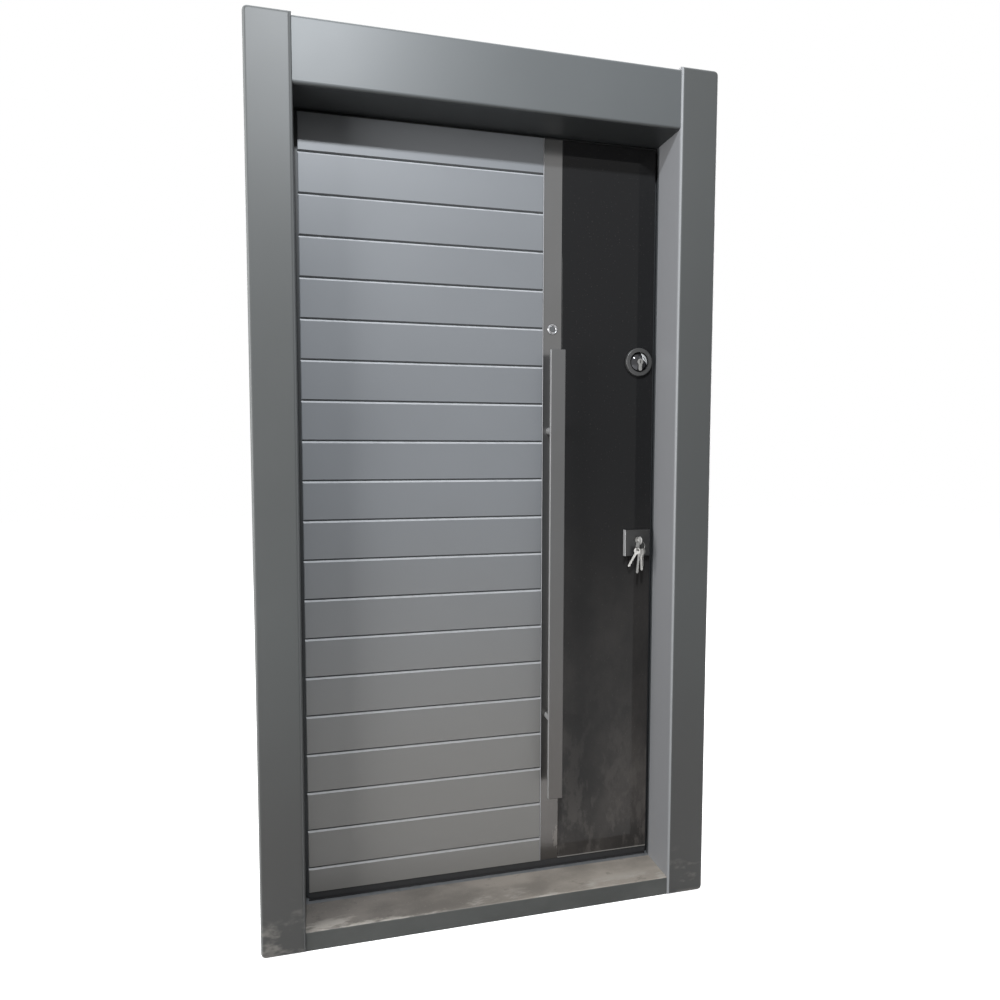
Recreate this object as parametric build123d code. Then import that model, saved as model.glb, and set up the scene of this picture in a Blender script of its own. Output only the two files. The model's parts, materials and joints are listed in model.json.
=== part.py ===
# Security entrance door with its frame, seen from the street side (the front, toward -Y).
# Frame of reference: millimetres, +Z up, X along the width, origin on the floor at mid-width,
# in the plane of the wall's outer face (the back of the casings). The leaf opens toward +Y.
import os

from build123d import *

# Doorway and casings
opening_width = 960
opening_height = 2040
casing_width = 105
casing_thickness = 22
casing_edge_radius = 8
casing_corner_radius = 12
casing_overrun = 6
head_casing_height = 150
head_casing_setback = 4
lining_thickness = 18
lining_depth = 100
threshold_height = 48
threshold_setback = 6
threshold_edge_radius = 4

# Steel frame
frame_sheet = 2
frame_width = 64
frame_lip = 13
frame_bend_radius = 3
stop_inset = 1
stop_depth = 17
stop_width = 19
sill_sheet = 3
gasket_width = 11
gasket_thickness = 5.8
gasket_edge_radius = 2
gasket_margin = 2
gasket_clearance = 0.2

# Leaf
leaf_gap_side = 5
leaf_gap_bottom = 6
leaf_thickness = 60
leaf_sheet = 1.5
rib_width = 40
rib_sheet = 2
rib_center_x = -120
inner_panel_thickness = 10
inner_panel_margin = 5
inner_panel_edge_radius = 3
sweep_thickness = 15
sweep_floor_gap = 2.5
sweep_lip_height = 8
sweep_panel_gap = 1

# Facing of the leaf: planks, strip and glass
panel_thickness = 18
panel_gap = 8
panel_above_sill = 27
groove_count = 19
groove_pitch = 100
groove_first = 64
groove_width = 9
groove_depth = 4.5
plank_edge_chamfer = 2
strip_width = 51
strip_setback = 1.5
strip_joint = 0.8
glass_width = 266.5
glass_joint = 1
glass_thickness = 6
glass_edge_chamfer = 1

# Hinges
hinge_heights = (300, 1050, 1800)
hinge_axis_out = 12
hinge_axis_back = 17
knuckle_radius = 10
knuckle_length = 60
knuckle_gap = 1
pin_radius = 6
pin_end_gap = 2
running_clearance = 0.05
hinge_plate_thickness = 4
hinge_plate_width = 48
hinge_frame_plate_reach = 5
hinge_web_height = 8
hinge_leaf_web_reach = 25
hinge_frame_web_reach = 18
hinge_plate_margin = 4
hinge_screw_inset = 14

# Screws and bolts
screw_radius = 2.5
screw_head_radius = 5
screw_head_height = 2.5
screw_length = 16
screw_clearance = 0.2
handle_bolt_radius = 4
handle_bolt_head_radius = 8
handle_bolt_head_height = 5
handle_bolt_thread = 20

# Pull handle
handle_length = 1200
handle_bottom = 279
handle_bar_width = 40
handle_bar_depth = 10
handle_bar_wall = 2
handle_standoff = 56
handle_left_of_strip = 4
handle_edge_radius = 2
handle_post_radius = 11
handle_post_from_end = 210

# Viewer in the strip
peephole_height = 1540
peephole_flange_radius = 14
peephole_flange_height = 4
peephole_barrel_radius = 7
peephole_bore_radius = 4.5
peephole_lens_radius = 8
peephole_lens_height = 3
peephole_rear_flange_radius = 12
peephole_cover_radius = 11
peephole_cover_thickness = 2
peephole_cover_drop = 16
peephole_pivot_radius = 2

# Locks
lock_backset = 67
lock_center_depth = 30
main_lock_height = 969
upper_lock_height = 1460
lever_above_cylinder = 85
case_thickness = 30
case_wall = 1.5
case_back_margin = 45
main_case_below = 80
main_case_above = 125
upper_case_half_height = 60
faceplate_thickness = 3
faceplate_width = 24
faceplate_below_main = 93
faceplate_above_upper = 76
faceplate_fit = 0.2
strike_thickness = 3
deadbolt_radius = 8
deadbolt_throw = 20
deadbolt_clearance = 0.3
deadbolt_strike_clearance = 1.5
main_bolt_offsets = (-51, -17, 17)
upper_bolt_offsets = (-30, 30)
carriage_thickness = 8
carriage_depth = 12
carriage_from_axis = 16
carriage_overlap = 8
latch_throw = 12
latch_height = 20
latch_thickness = 14
latch_head_length = 37
latch_tail_radius = 4
latch_tail_length = 22
latch_clearance = 0.3
latch_strike_clearance = 2

# Cylinders, after the common oval profile
cylinder_round_radius = 8.5
cylinder_stem_width = 10
cylinder_stem_drop = 24.5
cylinder_proud = 2
cylinder_hole_clearance = 0.4
plug_radius = 6.5
plug_end = 1
plug_end_gap = 0.5
cam_radius = 14.5
cam_width = 8
cam_hub_radius = 8.2
cam_length = 9
cam_gap = 10
cam_clear_radius = 15
keyway_width = 2.4
keyway_height = 8.4
keyway_depth = 30

# Escutcheons, rosettes and turn knobs
escutcheon_side = 73
escutcheon_drop = 8
escutcheon_thickness = 15
escutcheon_edge_radius = 1.5
inner_escutcheon_width = 50
inner_escutcheon_below = 40
inner_escutcheon_above = 40
inner_escutcheon_thickness = 8
rosette_radius = 38.5
rosette_dome_radius = 27
rosette_ring_height = 10
rosette_ring_edge = 3
rosette_dome_height = 14
rosette_dome_edge = 3
rosette_fit = 0.3
inner_rosette_radius = 25
knob_base_radius = 9
knob_base_length = 5
knob_length = 20
knob_width = 30
knob_thickness = 10
knob_edge_radius = 3

# Lever on the room side
lever_hub_radius = 11
lever_hub_length = 40
lever_neck_clearance = 0.4
lever_length = 125
lever_width = 20
lever_thickness = 10
lever_edge_radius = 4
spindle_side = 8

# Keys
key_thickness = 2
key_blade_height = 8
key_blade_length = 28
key_neck_length = 3
key_neck_overlap = 3
key_bow_radius = 10.5
key_hole_radius = 3.5
key_hole_from_tip = 7
ring_radius = 13
ring_wire_radius = 1.1
ring_rest_gap = 0.2
spare_bow_radius = 9
spare_blade_width = 8
spare_blade_point = 0.6
spare_hole_radius = 4
spare_hole_from_top = 6
spare_ring_angles = (-38, -14, 8, 32)
spare_turns = (-45, -45, -45, -70)
spare_leans = (28, 5, -3, 0)
spare_blade_lengths = (44, 52, 44, 36)

# Anchor holes through the jambs, for fixing to a wall
anchor_radius = 5.5
anchor_heights = (200, 700, 1650, 1850)

# Derived places
half_opening = opening_width / 2
casing_height = opening_height + head_casing_height + casing_overrun
frame_front = lining_depth
stop_x = half_opening + stop_inset
stop_z = opening_height + stop_inset
stop_back = frame_front + stop_depth
rebate_x = stop_x + stop_width
leaf_front = stop_back + gasket_thickness + gasket_clearance
leaf_back = leaf_front + leaf_thickness
frame_back = leaf_back + inner_panel_thickness
frame_top = stop_z + frame_width
leaf_half = rebate_x - leaf_gap_side
leaf_top = stop_z + stop_width - leaf_gap_side
leaf_bottom = threshold_height + leaf_gap_bottom
panel_front = leaf_front - panel_thickness
panel_half = half_opening - panel_gap
panel_bottom = threshold_height + panel_above_sill
panel_top = opening_height - panel_gap
glass_left = panel_half - glass_width
strip_left = glass_left - glass_joint - strip_width
strip_center = strip_left + strip_width / 2
strip_front = panel_front + strip_setback
hinge_x = -leaf_half - hinge_axis_out
hinge_y = frame_back + hinge_axis_back
lock_x = leaf_half - lock_backset
lock_y = leaf_front + lock_center_depth
lever_z = main_lock_height + lever_above_cylinder
faceplate_inner = leaf_half - faceplate_thickness
faceplate_bottom = main_lock_height - faceplate_below_main
faceplate_top = upper_lock_height + faceplate_above_upper
case_left = lock_x - case_back_margin
cylinder_main_front = panel_front - escutcheon_thickness - cylinder_proud
cylinder_upper_front = panel_front - rosette_dome_height - cylinder_proud
cylinder_back = frame_back + inner_escutcheon_thickness + cylinder_proud
handle_center = strip_center - handle_left_of_strip
handle_back = strip_front - handle_standoff
handle_front = handle_back - handle_bar_depth
handle_post_heights = (handle_bottom + handle_post_from_end,
                       handle_bottom + handle_length - handle_post_from_end)
key_face = cylinder_main_front
bow_y = key_face - key_neck_length - key_bow_radius
key_hole_y = bow_y - key_bow_radius + key_hole_from_tip
ring_top_drop = key_hole_radius - ring_wire_radius - ring_rest_gap
ring_center = Vector(lock_x, key_hole_y, main_lock_height - ring_top_drop - ring_radius)


def block(x_range, y_range, z_range):
    """A box given by its lowest and highest coordinate along each axis."""
    low = (x_range[0], y_range[0], z_range[0])
    size = (x_range[1] - x_range[0], y_range[1] - y_range[0], z_range[1] - z_range[0])
    return Pos(*low) * Box(*size, align=(Align.MIN, Align.MIN, Align.MIN))


def rod_y(x, z, radius, y_start, y_end):
    """A round bar along Y."""
    plane = Plane(origin=(x, y_start, z), x_dir=(1, 0, 0), z_dir=(0, 1, 0))
    return extrude(plane * Circle(radius), y_end - y_start)


def rod_x(y, z, radius, x_start, x_end):
    """A round bar along X."""
    plane = Plane(origin=(x_start, y, z), x_dir=(0, 1, 0), z_dir=(1, 0, 0))
    return extrude(plane * Circle(radius), x_end - x_start)


def rod_z(x, y, radius, z_start, z_end):
    """A round bar along Z."""
    return extrude(Plane(origin=(x, y, z_start)) * Circle(radius), z_end - z_start)


def rounded_bar(width, depth, height, radius):
    """A bar along Z with all its edges rounded, centred on the origin."""
    bar = Box(width, depth, height)
    return fillet(bar.edges(), radius)


def mirrored(shape):
    """The same shape on the other side of the door's middle plane."""
    return mirror(shape, about=Plane.YZ)


# Casings and threshold
def upright_casing():
    """Right upright: a face board with a lining board returning into the doorway."""
    face = block((half_opening, half_opening + casing_width), (-casing_thickness, 0), (0, casing_height))
    outer_corners = face.edges().filter_by(Axis.Y).sort_by(Axis.X)[-2:]
    face = fillet(outer_corners, casing_corner_radius)
    face = fillet(face.faces().sort_by(Axis.Y)[0].edges(), casing_edge_radius)
    lining = block((half_opening, half_opening + lining_thickness), (0, lining_depth), (0, casing_height))
    return face + lining


def head_casing():
    """Head board between the uprights, with its lining under the opening's top."""
    face = block((-half_opening, half_opening), (-casing_thickness + head_casing_setback, 0),
                 (opening_height, opening_height + head_casing_height))
    front = face.faces().sort_by(Axis.Y)[0]
    face = fillet(front.edges().filter_by(Axis.X), casing_edge_radius)
    lining = block((-half_opening, half_opening), (0, lining_depth),
                   (opening_height, opening_height + lining_thickness))
    return face + lining


def threshold():
    """Solid threshold between the uprights, a little behind their faces."""
    sill = block((-half_opening, half_opening), (-casing_thickness + threshold_setback, lining_depth),
                 (0, threshold_height))
    edge = sill.faces().sort_by(Axis.Y)[0].edges().sort_by(Axis.Z)[-1]
    return fillet(edge, threshold_edge_radius)


# Steel frame
def frame_section():
    """Bent sheet section: first axis runs out from the stop face, second axis is Y."""
    path = FilletPolyline(
        (frame_width, frame_front + frame_lip), (frame_width, frame_front), (0, frame_front),
        (0, stop_back), (stop_width, stop_back), (stop_width, frame_back),
        (frame_width, frame_back), (frame_width, frame_back - frame_lip), radius=frame_bend_radius)
    outline = offset(path, frame_sheet, side=Side.RIGHT, kind=Kind.ARC, closed=True)
    return make_face(outline.edges())


def mitre_wedge():
    """The space above the right-hand mitre line, as a prism along Y."""
    corner = (stop_x, stop_z)
    outline = Polyline(corner, (stop_x + frame_width, frame_top), (stop_x, frame_top), corner)
    plane = Plane(origin=(0, frame_front, 0), x_dir=(1, 0, 0), z_dir=(0, -1, 0))
    return extrude(plane * make_face(outline), -(frame_back - frame_front))


def anchor_holes():
    """Wall fixing holes through the rebate face of the right jamb."""
    return [rod_x((stop_back + frame_back) / 2, height, anchor_radius, stop_x, stop_x + frame_width)
            for height in anchor_heights]


def jamb():
    """Right-hand jamb, mitred at the top."""
    plane = Plane(origin=(stop_x, 0, 0), x_dir=(1, 0, 0), z_dir=(0, 0, 1))
    post = extrude(plane * frame_section(), frame_top)
    return post - mitre_wedge() - anchor_holes()


def lock_jamb():
    """Right-hand jamb with the opening that takes the strike plate and the bolts."""
    window = block((stop_x, stop_x + frame_width / 2), (faceplate_y[0], faceplate_y[1]),
                   (faceplate_bottom, faceplate_top))
    return jamb() - window


def hinge_jamb():
    """Left-hand jamb with tapped holes for the hinge plates."""
    return mirrored(jamb()) - [rod_y(x, z, screw_radius + screw_clearance, leaf_back, frame_back)
                               for x, z in frame_hinge_screw_places()]


def frame_head():
    """Head of the steel frame, mitred at both ends."""
    half_length = stop_x + frame_width
    plane = Plane(origin=(half_length, 0, stop_z), x_dir=(0, 0, 1), z_dir=(-1, 0, 0))
    beam = extrude(plane * frame_section(), 2 * half_length)
    below = block((stop_x, half_length), (frame_front, frame_back), (stop_z, frame_top)) - mitre_wedge()
    return beam - below - mirrored(below)


def frame_sill():
    """Folded sill tray under the leaf, open below, shaped round the jambs' stops."""
    low = block((-stop_x, stop_x), (frame_front, frame_back), (0, threshold_height))
    wide = block((-rebate_x, rebate_x), (stop_back, frame_back), (0, threshold_height))
    low_core = block((-stop_x + sill_sheet, stop_x - sill_sheet),
                     (frame_front + sill_sheet, frame_back - sill_sheet), (0, threshold_height - sill_sheet))
    wide_core = block((-rebate_x + sill_sheet, rebate_x - sill_sheet),
                      (stop_back + sill_sheet, frame_back - sill_sheet), (0, threshold_height - sill_sheet))
    wide = fillet(wide.edges().filter_by(Axis.Z).group_by(Axis.Y)[0], frame_bend_radius)
    return (low + wide) - (low_core + wide_core)


def frame_gasket():
    """Rubber seal on the stop, up one jamb, over the head and down the other."""
    inner_x = stop_x + gasket_margin
    outer_x = inner_x + gasket_width
    inner_z = stop_z + gasket_margin
    depth = (stop_back, stop_back + gasket_thickness)
    side = block((inner_x, outer_x), depth, (threshold_height, inner_z + gasket_width))
    top = block((-outer_x, outer_x), depth, (inner_z, inner_z + gasket_width))
    seal = side + mirrored(side) + top
    lip = seal.faces().sort_by(Axis.Y)[-1]
    return fillet(lip.edges(), gasket_edge_radius)


faceplate_y = (lock_y - faceplate_width / 2, lock_y + faceplate_width / 2)


def bolt_places():
    """Height of every round bolt on the lock edge."""
    return ([main_lock_height + offset_z for offset_z in main_bolt_offsets]
            + [upper_lock_height + offset_z for offset_z in upper_bolt_offsets])


def edge_plate(x_range, bolt_clearance, latch_gap):
    """A plate on the lock edge, pierced for the bolts and the latch."""
    plate = block(x_range, faceplate_y, (faceplate_bottom, faceplate_top))
    holes = [rod_x(lock_y, z, deadbolt_radius + bolt_clearance, *x_range) for z in bolt_places()]
    latch_hole = block(x_range,
                       (lock_y - latch_thickness / 2 - latch_gap, lock_y + latch_thickness / 2 + latch_gap),
                       (lever_z - latch_height / 2 - latch_gap, lever_z + latch_height / 2 + latch_gap))
    return plate - holes - latch_hole


def strike_plate():
    """Strike let into the lock jamb, flush with its face."""
    return edge_plate((rebate_x, rebate_x + strike_thickness), deadbolt_strike_clearance,
                      latch_strike_clearance)


def lock_faceplate():
    """Faceplate let into the leaf's edge, flush with it."""
    return edge_plate((faceplate_inner, leaf_half), deadbolt_clearance, latch_clearance)


# Hinges
def plate_screw_heights(center_z):
    """Heights of the screws in one hinge plate."""
    reach = knuckle_length - hinge_screw_inset
    return (center_z - reach, center_z, center_z + reach)


hinge_plate_frame_x = (hinge_x - hinge_frame_plate_reach - hinge_plate_width / 2,
                       hinge_x - hinge_frame_plate_reach)
hinge_plate_leaf_x = (-leaf_half + hinge_plate_margin, -leaf_half + hinge_plate_margin + hinge_plate_width)


def frame_hinge_screw_places():
    """Centres of the screws that hold the hinges to the jamb."""
    x = (hinge_plate_frame_x[0] + hinge_plate_frame_x[1]) / 2
    return [(x, z) for center_z in hinge_heights for z in plate_screw_heights(center_z)]


def leaf_hinge_screw_places():
    """Centres of the screws that hold the hinges to the leaf."""
    x = (hinge_plate_leaf_x[0] + hinge_plate_leaf_x[1]) / 2
    return [(x, z) for center_z in hinge_heights for z in plate_screw_heights(center_z)]


def countersunk_screw(x, z, face_y):
    """One screw driven toward -Y, its head flush with the plate."""
    head = Plane(origin=(x, face_y, z), x_dir=(1, 0, 0), z_dir=(0, -1, 0))
    cone = loft([head * Circle(screw_head_radius),
                 head.offset(screw_head_height) * Circle(screw_radius)])
    return cone + rod_y(x, z, screw_radius, face_y - screw_length, face_y - screw_head_height)


def screw_seats(places, face_y):
    """Countersunk holes for a set of screws."""
    seats = []
    for x, z in places:
        head = Plane(origin=(x, face_y, z), x_dir=(1, 0, 0), z_dir=(0, -1, 0))
        seats.append(loft([head * Circle(screw_head_radius + screw_clearance),
                           head.offset(screw_head_height) * Circle(screw_radius + screw_clearance)]))
        seats.append(rod_y(x, z, screw_radius + screw_clearance, face_y - screw_length, face_y))
    return seats


hinge_plate_face = frame_back + hinge_plate_thickness


def hinge_half(center_z, plate_x, web_x, knuckle_z, bore_radius, screws):
    """One half of a hinge: its plate, web and bored knuckle."""
    plate = block(plate_x, (frame_back, hinge_plate_face),
                  (center_z - knuckle_length, center_z + knuckle_length))
    web = block(web_x, (hinge_plate_face, hinge_plate_face + hinge_web_height), knuckle_z)
    knuckle = rod_z(hinge_x, hinge_y, knuckle_radius, *knuckle_z)
    bore = rod_z(hinge_x, hinge_y, bore_radius, *knuckle_z)
    places = [place for place in screws if abs(place[1] - center_z) < knuckle_length]
    return plate + web + knuckle - bore - screw_seats(places, hinge_plate_face)


def hinge_frame_half(center_z):
    """Lower knuckle and plate, fixed to the jamb."""
    knuckle_z = (center_z - knuckle_length, center_z - knuckle_gap / 2)
    web_x = (hinge_x - hinge_frame_web_reach, hinge_x)
    return hinge_half(center_z, hinge_plate_frame_x, web_x, knuckle_z, pin_radius,
                      frame_hinge_screw_places())


def hinge_leaf_half(center_z):
    """Upper knuckle and plate, fixed to the leaf."""
    knuckle_z = (center_z + knuckle_gap / 2, center_z + knuckle_length)
    web_x = (hinge_x, hinge_x + hinge_leaf_web_reach)
    return hinge_half(center_z, hinge_plate_leaf_x, web_x, knuckle_z, pin_radius + running_clearance,
                      leaf_hinge_screw_places())


def hinge_pin(center_z):
    """Pin pressed into the lower knuckle."""
    reach = knuckle_length - pin_end_gap
    return rod_z(hinge_x, hinge_y, pin_radius, center_z - reach, center_z + reach)


# Holes that run through the leaf
def cylinder_outline(extra=0):
    """Oval cylinder section, round part at the origin and stem below it."""
    stem_half = cylinder_stem_width / 2 + extra
    stem_center = -(cylinder_stem_drop - cylinder_stem_width / 2)
    return (Circle(cylinder_round_radius + extra)
            + Pos(0, stem_center / 2) * Rectangle(2 * stem_half, -stem_center)
            + Pos(0, stem_center) * Circle(stem_half))


def cylinder_bar(height, y_start, y_end, extra=0):
    """A bar of the cylinder's section along Y, at one of the locks."""
    plane = Plane(origin=(lock_x, y_end, height), x_dir=(1, 0, 0), z_dir=(0, -1, 0))
    return extrude(plane * cylinder_outline(extra), y_end - y_start)


def spindle_hole(y_start, y_end):
    """Round hole for the lever's spindle and hub."""
    return rod_y(lock_x, lever_z, lever_hub_radius + lever_neck_clearance, y_start, y_end)


def through_holes(y_start, y_end):
    """Everything that passes right through a layer of the leaf."""
    holes = [cylinder_bar(height, y_start, y_end, cylinder_hole_clearance)
             for height in (main_lock_height, upper_lock_height)]
    holes.append(rod_y(strip_center, peephole_height, peephole_barrel_radius + screw_clearance,
                       y_start, y_end))
    holes += [rod_y(handle_center, z, handle_bolt_radius + screw_clearance, y_start, y_end)
              for z in handle_post_heights]
    return holes


# Leaf shell
def leaf_tray():
    """Front sheet with its four folded edges, open toward the room."""
    outer = block((-leaf_half, leaf_half), (leaf_front, leaf_back - leaf_sheet), (leaf_bottom, leaf_top))
    inner = block((-leaf_half + leaf_sheet, leaf_half - leaf_sheet),
                  (leaf_front + leaf_sheet, leaf_back - leaf_sheet),
                  (leaf_bottom + leaf_sheet, leaf_top - leaf_sheet))
    window = block((faceplate_inner, leaf_half),
                   (faceplate_y[0] - faceplate_fit, faceplate_y[1] + faceplate_fit),
                   (faceplate_bottom - faceplate_fit, faceplate_top + faceplate_fit))
    return outer - inner - window - through_holes(leaf_front, leaf_back)


def back_layer_holes(y_start, y_end):
    """Holes of the layers between the core and the room."""
    screws = [rod_y(x, z, screw_radius + screw_clearance, y_start, y_end)
              for x, z in leaf_hinge_screw_places()]
    return through_holes(y_start, y_end) + [spindle_hole(y_start, y_end)] + screws


def leaf_back_skin():
    """Flat sheet that closes the tray."""
    depth = (leaf_back - leaf_sheet, leaf_back)
    skin = block((-leaf_half, leaf_half), depth, (leaf_bottom, leaf_top))
    return skin - back_layer_holes(*depth)


rib_x = (rib_center_x - rib_width / 2, rib_center_x + rib_width / 2)
core_y = (leaf_front + leaf_sheet, leaf_back - leaf_sheet)
core_z = (leaf_bottom + leaf_sheet, leaf_top - leaf_sheet)


def leaf_rib():
    """Square tube that stiffens the leaf from top to bottom."""
    tube = block(rib_x, core_y, core_z)
    bore = block((rib_x[0] + rib_sheet, rib_x[1] - rib_sheet),
                 (core_y[0] + rib_sheet, core_y[1] - rib_sheet), core_z)
    return tube - bore


def case_block(z_range, wall=0):
    """The space of a lock case, less its wall."""
    half = case_thickness / 2 - wall
    right = leaf_half - faceplate_thickness
    return block((case_left + wall, right), (lock_y - half, lock_y + half),
                 (z_range[0] + wall, z_range[1] - wall))


main_case_z = (main_lock_height - main_case_below, main_lock_height + main_case_above)
upper_case_z = (upper_lock_height - upper_case_half_height, upper_lock_height + upper_case_half_height)


def insulation(x_range):
    """Foam core beside the rib, shaped round the lock cases and all that passes through."""
    core = block(x_range, core_y, core_z)
    edge_pocket = block((faceplate_inner, leaf_half),
                        (faceplate_y[0] - faceplate_fit, faceplate_y[1] + faceplate_fit),
                        (faceplate_bottom - faceplate_fit, faceplate_top + faceplate_fit))
    pockets = [case_block(main_case_z), case_block(upper_case_z), edge_pocket]
    screws = [rod_y(x, z, screw_radius + screw_clearance, *core_y) for x, z in leaf_hinge_screw_places()]
    return core - pockets - screws - spindle_hole(lock_y, leaf_back) - through_holes(*core_y)


def inner_panel():
    """Plain board on the room side."""
    depth = (leaf_back, frame_back)
    board = block((-leaf_half + inner_panel_margin, leaf_half - inner_panel_margin), depth,
                  (leaf_bottom + inner_panel_margin, leaf_top - inner_panel_margin))
    board = fillet(board.faces().sort_by(Axis.Y)[-1].edges(), inner_panel_edge_radius)
    bolt_heads = [rod_y(handle_center, z, handle_bolt_head_radius + screw_clearance,
                        frame_back - handle_bolt_head_height, frame_back)
                  for z in handle_post_heights]
    return board - back_layer_holes(*depth) - bolt_heads


def bottom_sweep():
    """Rubber strip below the facing, with a lip toward the sill."""
    top = panel_bottom - sweep_panel_gap
    bottom = threshold_height + sweep_floor_gap
    body = block((-panel_half, panel_half), (leaf_front - sweep_thickness, leaf_front),
                 (bottom + sweep_lip_height, top))
    lip = block((-panel_half, panel_half), (leaf_front - sweep_thickness * 0.8, leaf_front - sweep_thickness * 0.4),
                (bottom, bottom + sweep_lip_height))
    return body + lip


# Facing
def groove_cutter(height, x_start, x_end):
    """V-groove along X in the face of the planks."""
    half = groove_width / 2
    outline = Polyline((panel_front, height - half), (panel_front, height + half),
                       (panel_front + groove_depth, height), (panel_front, height - half))
    plane = Plane(origin=(x_start, 0, 0), x_dir=(0, 1, 0), z_dir=(1, 0, 0))
    return extrude(plane * make_face(outline), x_end - x_start)


def grooved_panel():
    """Wide board milled with level grooves, so that it reads as planks."""
    right = strip_left - strip_joint
    board = block((-panel_half, right), (panel_front, leaf_front), (panel_bottom, panel_top))
    sides = board.faces().sort_by(Axis.Y)[0].edges().filter_by(Axis.Z)
    board = chamfer(sides, plank_edge_chamfer)
    heights = [panel_bottom + groove_first + index * groove_pitch for index in range(groove_count)]
    return board - [groove_cutter(height, -panel_half, right) for height in heights]


def handle_strip():
    """Plain upright strip between the planks and the glass."""
    depth = (strip_front, leaf_front)
    strip = block((strip_left, strip_left + strip_width), depth, (panel_bottom, panel_top))
    holes = [rod_y(strip_center, peephole_height, peephole_barrel_radius + screw_clearance, *depth)]
    holes += [rod_y(handle_center, z, handle_bolt_radius + screw_clearance, *depth)
              for z in handle_post_heights]
    return strip - holes


def lock_side_sheet(depth):
    """A sheet over the lock side of the leaf, pierced for both cylinders."""
    sheet = block((glass_left, panel_half), depth, (panel_bottom, panel_top))
    return sheet - [cylinder_bar(height, *depth, cylinder_hole_clearance)
                    for height in (main_lock_height, upper_lock_height)]


def glass_panel():
    """Black glass over the lock side."""
    glass = block((glass_left, panel_half), (panel_front, panel_front + glass_thickness),
                  (panel_bottom, panel_top))
    glass = chamfer(glass.faces().sort_by(Axis.Y)[0].edges(), glass_edge_chamfer)
    return glass - [cylinder_bar(height, panel_front, panel_front + glass_thickness, cylinder_hole_clearance)
                    for height in (main_lock_height, upper_lock_height)]


def glass_backer():
    """Board that the glass is bonded to."""
    return lock_side_sheet((panel_front + glass_thickness, leaf_front))


# Pull handle
def pull_bar():
    """Long rectangular tube with closed ends."""
    place = Pos(handle_center, (handle_front + handle_back) / 2, handle_bottom + handle_length / 2)
    bar = rounded_bar(handle_bar_width, handle_bar_depth, handle_length, handle_edge_radius)
    hollow = Box(handle_bar_width - 2 * handle_bar_wall, handle_bar_depth - 2 * handle_bar_wall,
                 handle_length - 2 * handle_bar_wall)
    return place * (bar - hollow)


def pull_post(height):
    """Round post that carries the bar, tapped for its bolt."""
    post = rod_y(handle_center, height, handle_post_radius, handle_back, strip_front)
    return post - rod_y(handle_center, height, handle_bolt_radius, strip_front - handle_bolt_thread, strip_front)


def handle_bolt(height):
    """Bolt from the room side through the leaf into a post."""
    head_start = frame_back - handle_bolt_head_height
    return (rod_y(handle_center, height, handle_bolt_radius, strip_front - handle_bolt_thread, head_start)
            + rod_y(handle_center, height, handle_bolt_head_radius, head_start, frame_back))


# Viewer
def peephole_barrel():
    """Flanged tube of the door viewer."""
    front_y = strip_front - peephole_flange_height
    flange = rod_y(strip_center, peephole_height, peephole_flange_radius, front_y, strip_front)
    flange = fillet(flange.faces().sort_by(Axis.Y)[0].edges(), peephole_flange_height / 2)
    tube = rod_y(strip_center, peephole_height, peephole_barrel_radius, strip_front, frame_back)
    rear = rod_y(strip_center, peephole_height, peephole_rear_flange_radius, frame_back,
                 frame_back + peephole_flange_height)
    seat = rod_y(strip_center, peephole_height, peephole_lens_radius, front_y, strip_front - peephole_lens_height / 2)
    bore = rod_y(strip_center, peephole_height, peephole_bore_radius, front_y, frame_back + peephole_flange_height)
    return flange + tube + rear - seat - bore


def peephole_lens():
    """Domed glass in the viewer's mouth."""
    back = strip_front - peephole_lens_height / 2
    front_y = strip_front - peephole_flange_height
    disc = rod_y(strip_center, peephole_height, peephole_lens_radius - screw_clearance, front_y, back)
    return fillet(disc.faces().sort_by(Axis.Y)[0].edges(), peephole_lens_height / 2)


cover_back = frame_back + peephole_flange_height
cover_pivot_z = peephole_height + peephole_cover_drop


def peephole_cover():
    """Flap over the viewer's inner end, hung from a rivet above it."""
    depth = (cover_back, cover_back + peephole_cover_thickness)
    disc = rod_y(strip_center, peephole_height, peephole_cover_radius, *depth)
    tab = block((strip_center - 2 * peephole_pivot_radius, strip_center + 2 * peephole_pivot_radius), depth,
                (peephole_height, cover_pivot_z))
    eye = rod_y(strip_center, cover_pivot_z, 2 * peephole_pivot_radius, *depth)
    hole = rod_y(strip_center, cover_pivot_z, peephole_pivot_radius + running_clearance, *depth)
    return disc + tab + eye - hole


def peephole_rivet():
    """Rivet that the viewer's cover turns on."""
    head_y = cover_back + peephole_cover_thickness
    shank = rod_y(strip_center, cover_pivot_z, peephole_pivot_radius, frame_back, head_y)
    collar = rod_y(strip_center, cover_pivot_z, 2 * peephole_pivot_radius, frame_back, cover_back)
    head = rod_y(strip_center, cover_pivot_z, 2 * peephole_pivot_radius, head_y, head_y + peephole_cover_thickness)
    return shank + collar + head


# Locks
def lock_case(z_range, cylinder_z, has_spindle):
    """Sheet case of a lock, open on the edge that the faceplate closes."""
    outer = case_block(z_range)
    half = case_thickness / 2 - case_wall
    inner = block((case_left + case_wall, faceplate_inner), (lock_y - half, lock_y + half),
                  (z_range[0] + case_wall, z_range[1] - case_wall))
    case = outer - inner - cylinder_bar(cylinder_z, core_y[0], core_y[1], cylinder_hole_clearance)
    return case - spindle_hole(*core_y) if has_spindle else case


def bolt_set(center_z, offsets):
    """Round bolts riveted to one carriage bar, drawn back into the leaf."""
    carriage_x = (lock_x + carriage_from_axis, lock_x + carriage_from_axis + carriage_thickness)
    heights = [center_z + offset_z for offset_z in offsets]
    carriage = block(carriage_x, (lock_y - carriage_depth / 2, lock_y + carriage_depth / 2),
                     (min(heights) - carriage_overlap, max(heights) + carriage_overlap))
    bolts = [rod_x(lock_y, z, deadbolt_radius, carriage_x[1], leaf_half) for z in heights]
    return carriage + bolts


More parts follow.
